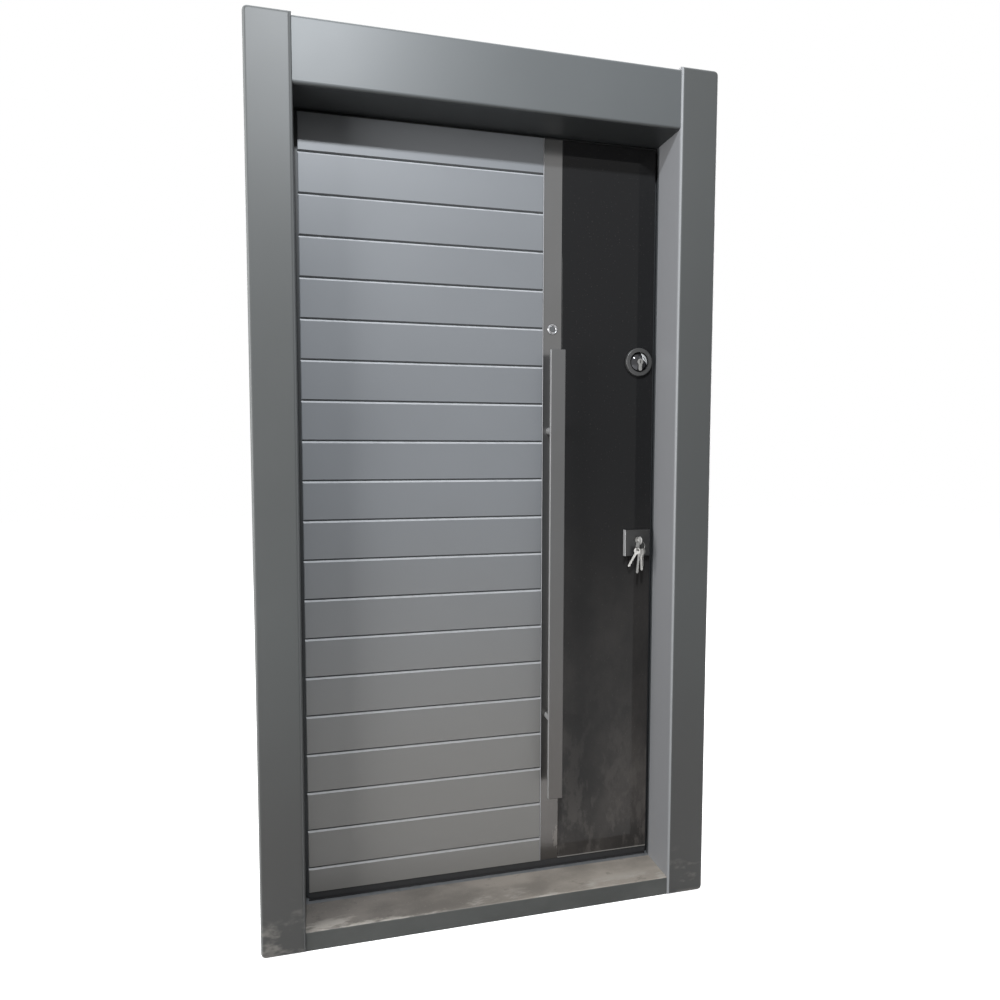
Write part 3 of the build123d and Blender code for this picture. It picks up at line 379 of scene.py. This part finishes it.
# Plain finishes with a little grain, by material slot or by the scene's own name for them
brushedGrain = (1, 1, 0.1)
plainSettings = {
    "backing_board": {"name": "backing board", "colour": (0.03, 0.03, 0.03), "rough": 0.8, "grain": 120.0,
                      "depth": 0.2},
    "seal_rubber": {"name": "seal rubber", "colour": (0.016, 0.016, 0.017), "rough": 0.72, "grain": 240.0,
                    "depth": 0.1},
    "plain_steel": {"name": "zinc plate", "colour": (0.40, 0.40, 0.39), "rough": 0.34, "metallic": 1.0,
                    "grain": 500.0, "depth": 0.03, "spread": 0.10, "stretch": brushedGrain},
    "core_wool": {"name": "mineral wool", "colour": (0.50, 0.44, 0.28), "rough": 0.95, "grain": 200.0,
                  "depth": 1.0, "spread": 0.20},
    "viewer_chrome": {"name": "viewer chrome", "colour": (0.36, 0.36, 0.37), "rough": 0.22, "metallic": 1.0,
                      "depth": 0.01, "spread": 0.06},
    "cylinder_nickel": {"name": "cylinder nickel", "colour": (0.40, 0.40, 0.39), "rough": 0.28,
                        "metallic": 1.0, "grain": 400.0, "depth": 0.02, "spread": 0.08},
    "dome_chrome": {"name": "black chrome dome", "colour": (0.060, 0.060, 0.064), "rough": 0.10,
                    "metallic": 0.9, "depth": 0.01, "spread": 0.05},
    "room_fittings": {"name": "room fittings", "colour": (0.42, 0.42, 0.42), "rough": 0.32, "metallic": 1.0,
                      "grain": 600.0, "depth": 0.03, "spread": 0.08, "stretch": brushedGrain},
    "key_nickel": {"name": "key nickel", "colour": (0.26, 0.255, 0.245), "rough": 0.46, "metallic": 1.0,
                   "depth": 0.03},
    "cast_nickel": {"name": "cast nickel", "colour": (0.62, 0.61, 0.59), "rough": 0.42, "metallic": 0.5,
                    "depth": 0.03, "spread": 0.10},
    "reflection_nickel": {"name": "inlay nickel", "colour": (0.86, 0.86, 0.85), "rough": 0.28, "metallic": 0.3,
                     "depth": 0.01, "spread": 0.05},
    "edging_highlight": {"name": "bare edge", "colour": (0.34, 0.34, 0.35), "rough": 0.35, "metallic": 0.3,
                  "grain": 500.0, "depth": 0.02, "spread": 0.08, "stretch": brushedGrain},
}
plainShared = {"cloud": (12.0, 4.0), "grainDetail": 3.0, "bump": 0.4}


def plainFinish(name, colour, rough, depth, metallic=0.0, grain=300.0, spread=0.12, stretch=(1, 1, 1)):
    finish = newFinish(name)
    grains = finish.noise(grain, plainShared["grainDetail"], stretch)
    cloudy = finish.noise(*plainShared["cloud"])
    return finish.surface({
        "Base Color": finish.blend(cloudy, opaque(colour, 1 - 2 * spread), opaque(colour)),
        "Metallic": metallic,
        "Roughness": rough - spread / 2 + spread * grains,
        "Normal": finish.bump(grains, depth * millimetre, plainShared["bump"]),
    })


finishes = {
    "casing_paint": satinPaint("casing paint", **paintSettings["casing"]),
    "head_lit_paint": satinPaint("head paint", **paintSettings["head"]),
    "plank_paint": satinPaint("plank paint", **paintSettings["plank"]),
    "frame_steel": satinPaint("frame paint", **paintSettings["steel"]),
    "leaf_steel": satinPaint("leaf paint", **paintSettings["leaf"]),
    "room_board": satinPaint("room board paint", **paintSettings["room"]),
    "hinge_steel": satinPaint("hinge paint", **paintSettings["steel"]),
    "threshold_paint": wornThreshold(thresholdSettings),
    "strip_metal": coatedMetal("strip metal", **metalSettings["strip"]),
    "bar_metal": coatedMetal("bar metal", **metalSettings["bar"]),
    "lock_plate": coatedMetal("lock plate", **metalSettings["plate"]),
    "ring_metal": coatedMetal("ring metal", **metalSettings["ring"]),
    "black_glass": blackGlass(glassSettings),
    "lens_glass": clearLens(lensSettings),
}
for slot, values in plainSettings.items():
    finishes[slot] = plainFinish(**values)
ownFinish = {"head_casing": "head_lit_paint", "rosette_ring": "ring_metal"}  # nodes that differ from their slot
for row in frame["record"]["subparts"]:
    for slot in bpy.data.objects[row["node"]].material_slots:
        slot.material = finishes[ownFinish.get(row["node"], row["material_slot"])]
print("finishes", len(finishes))


# Camera at the photograph's place, with its angles in radians
cameraSettings = {"place": (-0.4628, -1.8235, 1.2210), "lens": 27.0, "sensor": 36.0, "near": 0.05,
                  "yaw": 0.253, "pitch": -0.068, "roll": 0.002}


def placeCamera(place, lens, sensor, near, yaw, pitch, roll):
    data = bpy.data.cameras.new("camera")
    data.lens = lens
    data.sensor_width = sensor
    data.clip_start = near
    camera = bpy.data.objects.new("camera", data)
    bpy.context.scene.collection.objects.link(camera)
    turn = (Matrix.Rotation(-yaw, 4, "Z") @ Matrix.Rotation(math.pi / 2 + pitch, 4, "X")
            @ Matrix.Rotation(roll, 4, "Z"))
    camera.matrix_world = Matrix.Translation(place) @ turn
    bpy.context.scene.camera = camera


placeCamera(**cameraSettings)

# A small key lamp that throws the casing's shadow, a soft side lamp, and two lamps for the sides and back
lightSettings = {
    "key": {"place": (-0.50, -1.95, 3.31), "aim": (-0.2, 0, 1.6), "size": 0.12, "power": 80,
            "tint": (0.955, 1.0, 1.05)},
    "side": {"place": (-3.4, -1.5, 1.5), "aim": (0.3, 0, 1.2), "size": 2.4, "power": 148},
    "rear": {"place": (-1.0, 4.0, 3.4), "aim": (0, 0, 1.1), "size": 2.4, "power": 180},
    "fill": {"place": (3.6, 1.5, 2.0), "aim": (0.5, 0.1, 1.1), "size": 2.4, "power": 130},
}


def addLamp(name, place, aim, size, power, tint=(1, 1, 1)):
    data = bpy.data.lights.new(name, "AREA")
    data.size = size
    data.energy = power
    data.color = tint
    lamp = bpy.data.objects.new(name, data)
    bpy.context.scene.collection.objects.link(lamp)
    toward = Vector(aim) - Vector(place)
    lamp.matrix_world = Matrix.Translation(place) @ toward.to_track_quat("-Z", "Y").to_matrix().to_4x4()


for name, values in lightSettings.items():
    addLamp(name, **values)

# White background and pale floor for the eye and for reflections, a dim studio for everything else
studioSettings = {"ambient": 0.27, "floorReach": 12.0, "floorShown": 0.80, "floorBounce": 0.12,
                  "floorRough": 0.9}


def paintWorld(settings):
    studio = Nodes(bpy.data.worlds.new("studio"))
    ambient = settings["ambient"]
    back = studio.add("ShaderNodeBackground", {}, {"Color": (1, 1, 1, 1),
                                                   "Strength": studio.seen() * (1 - ambient) + ambient})
    studio.add("ShaderNodeOutputWorld", {}, {"Surface": back})
    bpy.context.scene.world = studio.owner


def layFloor(settings):
    reach, shown = settings["floorReach"], settings["floorShown"]
    mesh = bpy.data.meshes.new("floor")
    corners = [(-reach, -reach, 0), (reach, -reach, 0), (reach, reach, 0), (-reach, reach, 0)]
    mesh.from_pydata(corners, [], [(0, 1, 2, 3)])
    floor = bpy.data.objects.new("floor", mesh)
    bpy.context.scene.collection.objects.link(floor)
    finish = newFinish("floor")
    seen = finish.seen()
    mesh.materials.append(finish.surface({
        "Base Color": finish.blend(seen, grey(settings["floorBounce"]), grey(shown)),
        "Roughness": settings["floorRough"], "Specular IOR Level": 0.0,
        "Emission Color": finish.blend(seen, grey(0), grey(1)),
        "Emission Strength": 1 - shown * settings["ambient"],
    }))


paintWorld(studioSettings)
layFloor(studioSettings)
bpy.context.scene.view_settings.view_transform = "Standard"
print("camera, light and floor")


# Shared ways to make a mesh and hang it on a body
hardEdge = math.radians(35)  # an edge that turns more than this stays hard


def addPiece(name, mesh, body, nodes, slot, finish=None):
    piece = bpy.data.objects.new(name, mesh)
    bpy.context.scene.collection.objects.link(piece)
    mesh.materials.clear()
    mesh.materials.append(finishes[finish or slot])
    mesh.shade_smooth()
    mesh.set_sharp_from_angle(angle=hardEdge)
    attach(piece, body)
    if nodes:
        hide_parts(*nodes)


def finishMesh(name, shape):
    bmesh.ops.recalc_face_normals(shape, faces=shape.faces)
    mesh = bpy.data.meshes.new(name)
    shape.to_mesh(mesh)
    shape.free()
    return mesh


def newCurve(name, dimensions, bevel, bevelSteps):
    curve = bpy.data.curves.new(name, "CURVE")
    curve.dimensions = dimensions
    curve.bevel_depth = bevel
    curve.bevel_resolution = bevelSteps
    return curve


def addLine(curve, points):
    spline = curve.splines.new("POLY")
    spline.points.add(len(points) - 1)
    for point, spot in zip(spline.points, points):
        point.co = (*spot, 1)
    return spline


def curveMesh(curve):
    holder = bpy.data.objects.new(curve.name + "Curve", curve)
    bpy.context.scene.collection.objects.link(holder)
    mesh = bpy.data.meshes.new_from_object(holder.evaluated_get(bpy.context.evaluated_depsgraph_get()))
    bpy.data.objects.remove(holder)
    return mesh


# A flat blank with softened edges: the first loop is its outline and the others are holes in it
def flatMesh(name, loops, thick, edge):
    curve = newCurve(name, "2D", edge, 2)
    curve.fill_mode = "BOTH"
    curve.extrude = thick / 2 - edge
    curve.offset = -edge
    for loop in loops:
        addLine(curve, [(across, along, 0) for across, along in loop]).use_cyclic_u = True
    return curveMesh(curve)


# Joins rings of vertices into a skin, with a face on the first and last ring unless it closes on itself
def skinOver(shape, rings, closed=False):
    pairs = list(zip(rings, rings[1:]))
    if closed:
        pairs.append((rings[-1], rings[0]))
    else:
        shape.faces.new(rings[0])
        shape.faces.new(reversed(rings[-1]))
    for first, second in pairs:
        for step in range(len(first)):
            after = (step + 1) % len(first)
            shape.faces.new((first[step], first[after], second[after], second[step]))


# Rings about the Y axis: each row is a radius, a place along Y and how deep its four lobes are cut, in mm
def turnInto(shape, centre, rows, steps=48, closed=False, start=0.0, lobes=4, sharpness=4):
    rings = []
    for radius, along, lobe in rows:
        ring = []
        for step in range(steps):
            angle = math.tau * step / steps + start
            reach = radius * millimetre * (1 - lobe + lobe * abs(math.cos(lobes / 2 * angle)) ** sharpness)
            ring.append(shape.verts.new((centre[0] + reach * math.cos(angle), along * millimetre,
                                         centre[1] + reach * math.sin(angle))))
        rings.append(ring)
    skinOver(shape, rings, closed)


def plainRows(rows):
    return [(radius, along, 0) for radius, along in rows]


def middleOf(node):
    low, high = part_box(node)
    return (low + high) / 2


# Keys cut from flat blanks with a milled groove on both faces, hung on a split ring; angles in degrees
ringSettings = {"radius": 13 * millimetre, "wire": 0.55 * millimetre, "bevelSteps": 3, "turns": 2,
                "steps": 48, "gap": 0.02, "start": 0.7, "climbFrom": 0.9, "climbOver": 0.2}
keySettings = {
    "thick": 2.2 * millimetre, "edge": 0.25 * millimetre, "half": 4 * millimetre, "shank": 0.8,
    "squash": 0.10, "shoulder": 2.5 * millimetre, "tip": 4 * millimetre, "tipBack": 2.5 * millimetre,
    "steps": 40, "skin": 0.55 * millimetre, "seat": 0.1 * millimetre, "grooveHalf": 0.7 * millimetre,
    "grooveShift": 1 * millimetre, "grooveEnds": (5 * millimetre, 4 * millimetre),
    "cut": 0.45 * millimetre, "cutsFrom": 4 * millimetre, "cutFirst": 0.8, "cutSlope": 0.45,
    "cutFloor": 0.12,
    "hung": {
        "spareKeyLeft": {"angle": -38, "turn": -40, "lean": 28, "length": 44, "cuts": (1, 3, 2, 4, 2, 3)},
        "spareKeyLong": {"angle": -14, "turn": -18, "lean": 5, "length": 52, "cuts": (3, 1, 4, 2, 3, 1, 2)},
        "spareKeyMiddle": {"angle": 8, "turn": -30, "lean": -3, "length": 44, "cuts": (2, 4, 1, 3, 4, 2)},
        "spareKeyThin": {"angle": 32, "turn": -72, "lean": 0, "length": 36, "cuts": (2, 1, 3, 2, 1)},
    },
    "spare": {"bow": 9 * millimetre, "drop": 3 * millimetre, "hole": 4 * millimetre},
    "main": {"bow": 10.4 * millimetre, "drop": 3.5 * millimetre, "hole": 3.5 * millimetre, "length": 31,
             "cuts": (2, 4, 1, 3, 2)},
}
ringCentre = middleOf("key_ring")


def circleLoop(radius, count):
    return [(radius * math.sin(math.tau * step / count), radius * math.cos(math.tau * step / count))
            for step in range(count)]


def keyOutline(settings, bow, bowMiddle, length, cuts):
    half = settings["half"]
    narrow = half * settings["shank"]
    opening = math.asin(half / bow)
    start = math.pi - opening
    points = []
    for step in range(settings["steps"] + 1):
        angle = -start + 2 * start * step / settings["steps"]
        squash = 1.0 + settings["squash"] * math.cos(2 * angle)
        points.append((bow * math.sin(angle) / math.sqrt(squash),
                       bowMiddle + bow * math.cos(angle) * min(squash, 1.0)))
    neck = bowMiddle - bow * math.cos(opening)
    shoulder = neck - settings["shoulder"]
    tip = neck - length
    points += [(half, shoulder), (narrow, shoulder)]
    pitch = (length - settings["cutsFrom"] - settings["tip"]) / (len(cuts) + 1)
    for index, cut in enumerate(cuts):
        middle = neck - settings["cutsFrom"] - pitch * (index + settings["cutFirst"])
        floor = narrow - cut * settings["cut"]
        slope, level = pitch * settings["cutSlope"], pitch * settings["cutFloor"]
        points += [(narrow, middle + slope), (floor, middle + level), (floor, middle - level),
                   (narrow, middle - slope)]
    points += [(narrow, tip + settings["tip"]), (0, tip), (-narrow, tip + settings["tipBack"]),
               (-narrow, shoulder), (-half, shoulder)]
    return points, neck, tip


def keyMesh(name, settings, bow, drop, hole, length, cuts):
    outline, neck, tip = keyOutline(settings, bow, -drop, length * millimetre, cuts)
    eye = circleLoop(hole, settings["steps"])
    left = -settings["grooveShift"] - settings["grooveHalf"]
    right = -settings["grooveShift"] + settings["grooveHalf"]
    rightEnd, leftEnd = settings["grooveEnds"]
    groove = [(left, neck), (right, neck), (right, tip + rightEnd), (left, tip + leftEnd)]
    skin = settings["skin"]
    core = settings["thick"] - 2 * skin + settings["seat"]  # it reaches a little into both skins
    whole = bmesh.new()
    whole.from_mesh(flatMesh(name, [outline, eye], core, settings["edge"]))
    face = flatMesh(name, [outline, eye, groove], skin, settings["edge"] / 2)
    rise = (settings["thick"] - skin) / 2
    for side in (-rise, rise):
        layer = face.copy()
        layer.transform(Matrix.Translation((0, 0, side)))
        whole.from_mesh(layer)
    return finishMesh(name, whole)


def makeKeys(settings, ringRadius):
    for name, key in settings["hung"].items():
        mesh = keyMesh(name, settings, **settings["spare"], length=key["length"], cuts=key["cuts"])
        angle, turn, lean = (math.radians(key[part]) for part in ("angle", "turn", "lean"))
        spot = ringCentre + ringRadius * Vector((math.sin(angle), 0, -math.cos(angle)))
        mesh.transform(Matrix.Translation(spot) @ Matrix.Rotation(turn, 4, "Z")
                       @ Matrix.Rotation(lean, 4, "Y") @ Matrix.Rotation(math.pi / 2, 4, "X"))
        addPiece(name, mesh, "spare_key_bunch", ["spare_keys"], "key_nickel")
    mesh = keyMesh("mainKey", settings, **settings["main"])
    lock = middleOf("main_outer_plug")
    upright = Matrix(((0, 0, 1, 0), (0, -1, 0, 0), (1, 0, 0, 0), (0, 0, 0, 1)))  # blade into the plug
    mesh.transform(Matrix.Translation((lock.x, ringCentre.y, lock.z)) @ upright)
    addPiece("mainKey", mesh, "keyed_plug", ["main_key"], "key_nickel", "cast_nickel")


def makeSplitRing(settings):
    radius, wire, steps = settings["radius"], settings["wire"], settings["steps"]
    curve = newCurve("splitRing", "3D", wire, settings["bevelSteps"])
    curve.use_fill_caps = True
    points = []
    for step in range(int(settings["turns"] * steps * (1 - settings["gap"])) + 1):
        angle = math.tau * step / steps + settings["start"]
        climb = min(max((step / steps - settings["climbFrom"]) / settings["climbOver"], 0), 1)
        side = wire * (2 * (3 * climb ** 2 - 2 * climb ** 3) - 1)
        points.append(ringCentre + Vector((math.sin(angle) * radius, side, math.cos(angle) * radius)))
    addLine(curve, points)
    addPiece("splitRing", curveMesh(curve), "keyed_plug", ["key_ring"], "key_nickel")


makeKeys(keySettings, ringSettings["radius"])
makeSplitRing(ringSettings)
print("keys and ring")


# Door viewer: a turned barrel with a beaded flange, and a domed lens; radius and place along Y in mm
viewerSettings = {
    "barrel": [(8.0, 104.9), (8.0, 103.2), (8.6, 102.6), (9.6, 102.5), (10.4, 102.9), (10.9, 103.5),
               (11.4, 103.0), (12.4, 102.7), (13.3, 103.2), (13.9, 104.4), (14.0, 106.5), (7.0, 106.5),
               (7.0, 193.0), (12.0, 193.0), (12.0, 196.5), (11.5, 197.0), (4.5, 197.0), (4.5, 104.9)],
    "lensRadius": 7.8, "lensEdge": 104.3, "lensCrown": 102.6, "lensBack": 105.0, "lensSteps": 8,
}


def makeViewer(settings):
    middle = middleOf("peephole_lens")
    barrel = bmesh.new()
    turnInto(barrel, (middle.x, middle.z), plainRows(settings["barrel"]), closed=True)
    barrelMesh = finishMesh("viewerBarrel", barrel)
    addPiece("viewerBarrel", barrelMesh, "leaf", ["peephole_barrel"], "viewer_chrome")
    radius, edge, steps = settings["lensRadius"], settings["lensEdge"], settings["lensSteps"]
    rows = []
    for step in range(1, steps + 1):
        angle = math.pi / 2 * step / steps
        rows.append((radius * math.sin(angle), edge + (settings["lensCrown"] - edge) * math.cos(angle)))
    rows.append((radius, settings["lensBack"]))
    lens = bmesh.new()
    turnInto(lens, (middle.x, middle.z), plainRows(rows))
    addPiece("viewerLens", finishMesh("viewerLens", lens), "leaf", ["peephole_lens"], "lens_glass")


makeViewer(viewerSettings)


# Pale leaf-shaped patch with a slot on the dome of the upper rosette, a painted reflection of a bright
# window; mm, degrees and shares of it
domeReflectionSettings = {"domeRadius": 27.0, "crown": 14.0, "edge": 3.0, "proud": 0.6, "sunk": 0.3, "outer": 24.3,
                 "width": 13.5, "tipWidth": 0.4, "skew": 1.25, "fullness": 0.8, "from": -14, "to": 74,
                 "along": 60, "across": 14, "slotAlong": (0.26, 0.78), "slotAcross": (0.38, 0.60)}


def domeHeight(settings, reach):
    rise = settings["crown"] - settings["edge"]
    bend = (settings["domeRadius"] ** 2 + rise ** 2) / (2 * rise)
    return settings["edge"] + math.sqrt(bend ** 2 - reach ** 2) - (bend - rise)


def makeDomeReflection(settings):
    along, across = settings["along"], settings["across"]
    centre = middleOf("upper_outer_plug")
    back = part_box("rosette_dome")[1].y
    shape = bmesh.new()
    grid = []
    for i in range(along + 1):
        part = i / along
        angle = math.radians(settings["from"] + (settings["to"] - settings["from"]) * part)
        swell = max(math.sin(math.pi * part ** settings["skew"]), 0) ** settings["fullness"]
        width = settings["tipWidth"] + settings["width"] * swell
        row = []
        for j in range(across + 1):
            reach = settings["outer"] - width * (1 - j / across)
            height = domeHeight(settings, reach) + settings["proud"]
            row.append(shape.verts.new((centre.x + reach * math.cos(angle) * millimetre,
                                        back - height * millimetre,
                                        centre.z + reach * math.sin(angle) * millimetre)))
        grid.append(row)
    slotAlong, slotAcross = settings["slotAlong"], settings["slotAcross"]
    for i in range(along):
        for j in range(across):
            insideAlong = slotAlong[0] < (i + 0.5) / along < slotAlong[1]
            insideAcross = slotAcross[0] < (j + 0.5) / across < slotAcross[1]
            if not (insideAlong and insideAcross):
                shape.faces.new((grid[i][j], grid[i][j + 1], grid[i + 1][j + 1], grid[i + 1][j]))
    loose = [vert for vert in shape.verts if not vert.link_faces]
    bmesh.ops.delete(shape, geom=loose, context="VERTS")
    grown = bmesh.ops.extrude_face_region(shape, geom=list(shape.faces), use_keep_orig=True)["geom"]
    lower = [item for item in grown if isinstance(item, bmesh.types.BMVert)]
    depth = (settings["proud"] + settings["sunk"]) * millimetre
    bmesh.ops.translate(shape, verts=lower, vec=(0, depth, 0))
    addPiece("domeInlay", finishMesh("domeInlay", shape), "leaf", [], "viewer_chrome", "reflection_nickel")


makeDomeReflection(domeReflectionSettings)


# Thin edging between the planks and the metal strip, pale as a painted highlight of the lit edge there
edgingSettings = {"half": 0.9 * millimetre, "away": 0.4 * millimetre, "proud": 0.5 * millimetre,
                  "deep": 3.0 * millimetre, "arc": 8}


def makeEdging(half, away, proud, deep, arc):
    low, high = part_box("handle_strip")
    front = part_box("grooved_panel")[0].y
    middle = low.x - away
    outline = [(middle + half, front + deep), (middle - half, front + deep)]
    for step in range(arc + 1):
        angle = math.pi * step / arc
        outline.append((middle - half * math.cos(angle), front - proud * math.sin(angle)))
    shape = bmesh.new()
    skinOver(shape, [[shape.verts.new((x, y, z)) for x, y in outline] for z in (low.z, high.z)])
    addPiece("stripEdging", finishMesh("stripEdging", shape), "leaf", [], "strip_metal", "edging_highlight")


makeEdging(**edgingSettings)
print("viewer, inlay and edging")


# Countersunk screws with a cross recess, and handle bolts with a thick head and a lobed recess; in mm
smallScrew = {"slot": "plain_steel", "head": 4.95, "headDepth": 2.5, "countersunk": True, "shank": 2.5,
              "length": 16, "recess": 3.0, "recessDepth": 1.8}
screwSettings = {
    "leafScrews": {"node": "leaf_screws", "body": "leaf", **smallScrew},
    "frameScrews": {"node": "frame_screws", "body": "frame", **smallScrew},
    "handleBolts": {"node": "handle_bolts", "body": "leaf", "slot": "plain_steel", "head": 8, "headDepth": 5,
                    "countersunk": False, "shank": 4, "length": 106.5, "recess": 4.6, "recessDepth": 3.0},
}
recessSettings = {"floor": 0.3, "wall": 0.8, "lobe": 0.6, "rim": 0.4, "weld": 0.01 * millimetre}


# The head centres of a node's separate screws, found from its vertices in the frame
def screwPlaces(node, weld):
    shape = bmesh.new()
    shape.from_mesh(bpy.data.objects[node].data)
    bmesh.ops.remove_doubles(shape, verts=shape.verts, dist=weld)
    left = set(shape.verts)
    places = []
    while left:
        group = [left.pop()]
        for vert in group:
            fresh = {edge.other_vert(vert) for edge in vert.link_edges} & left
            left -= fresh
            group += fresh
        low = Vector(min(vert.co[axis] for vert in group) for axis in range(3))
        high = Vector(max(vert.co[axis] for vert in group) for axis in range(3))
        places.append(((low.x + high.x) / 2, high.y, (low.z + high.z) / 2))
    shape.free()
    return sorted(places, key=lambda place: place[2])


def makeScrews(name, node, body, slot, head, headDepth, countersunk, shank, length, recess, recessDepth):
    lobe, rim = recessSettings["lobe"], recessSettings["rim"]
    shape = bmesh.new()
    for x, face, z in screwPlaces(node, recessSettings["weld"]):
        face = face / millimetre
        rows = [(recess * recessSettings["floor"], face - recessDepth, 0),
                (recess * recessSettings["wall"], face - recessDepth, lobe), (recess, face, lobe),
                (head - rim, face, 0), (head, face - rim, 0)]
        if not countersunk:
            rows.append((head, face - headDepth, 0))
        rows += [(shank, face - headDepth, 0), (shank, face - length, 0)]
        turnInto(shape, (x, z), rows)
    addPiece(name, finishMesh(name, shape), body, [node], slot)


for name, values in screwSettings.items():
    makeScrews(name, **values)


# Lever of the room side: square spindle, turned neck and a flat grip with soft corners; in mm
leverSettings = {"neck": [(11.0, 183.0), (11.0, 203.0), (10.2, 206.0), (9.4, 212.0), (9.4, 222.0),
                          (10.4, 228.0), (10.6, 231.5), (9.6, 233.0)],
                 "spindle": 5.6, "spindleEnd": 184.0, "gripThick": 10.0, "gripHigh": 20.0, "tipThick": 8.4,
                 "tipHigh": 17.0, "power": 3.6, "rounding": 5.0, "endShare": 0.55, "rings": 40, "steps": 40}


def makeLever(settings):
    low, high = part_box("inner_lever")
    hub = (middleOf("main_outer_plug").x, (low.z + high.z) / 2)
    shape = bmesh.new()
    turnInto(shape, hub, plainRows(settings["neck"]))
    spindle = [(settings["spindle"], low.y / millimetre), (settings["spindle"], settings["spindleEnd"])]
    turnInto(shape, hub, plainRows(spindle), steps=4, start=math.pi / 4)
    length = (high.x - low.x) / millimetre
    middle = high.y / millimetre - settings["gripThick"] / 2
    least = settings["endShare"]
    bend = 2 / settings["power"]
    rings = []
    for index in range(settings["rings"] + 1):
        part = 0.5 - 0.5 * math.cos(math.pi * index / settings["rings"])
        soft = min(min(part, 1 - part) * length / settings["rounding"], 1)
        ease = least + (1 - least) * math.sqrt(max(1 - (1 - soft) ** 2, 0))
        thick = (settings["gripThick"] + (settings["tipThick"] - settings["gripThick"]) * part) * ease / 2
        tall = (settings["gripHigh"] + (settings["tipHigh"] - settings["gripHigh"]) * part) * ease / 2
        ring = []
        for step in range(settings["steps"]):
            angle = math.tau * step / settings["steps"]
            across = math.copysign(abs(math.cos(angle)) ** bend, math.cos(angle))
            up = math.copysign(abs(math.sin(angle)) ** bend, math.sin(angle))
            ring.append(shape.verts.new((high.x - part * length * millimetre,
                                         (middle + thick * across) * millimetre,
                                         hub[1] + tall * up * millimetre)))
        rings.append(ring)
    skinOver(shape, rings)
    addPiece("roomLever", finishMesh("roomLever", shape), "lever", ["inner_lever"], "room_fittings")


makeLever(leverSettings)
print("screws and lever")
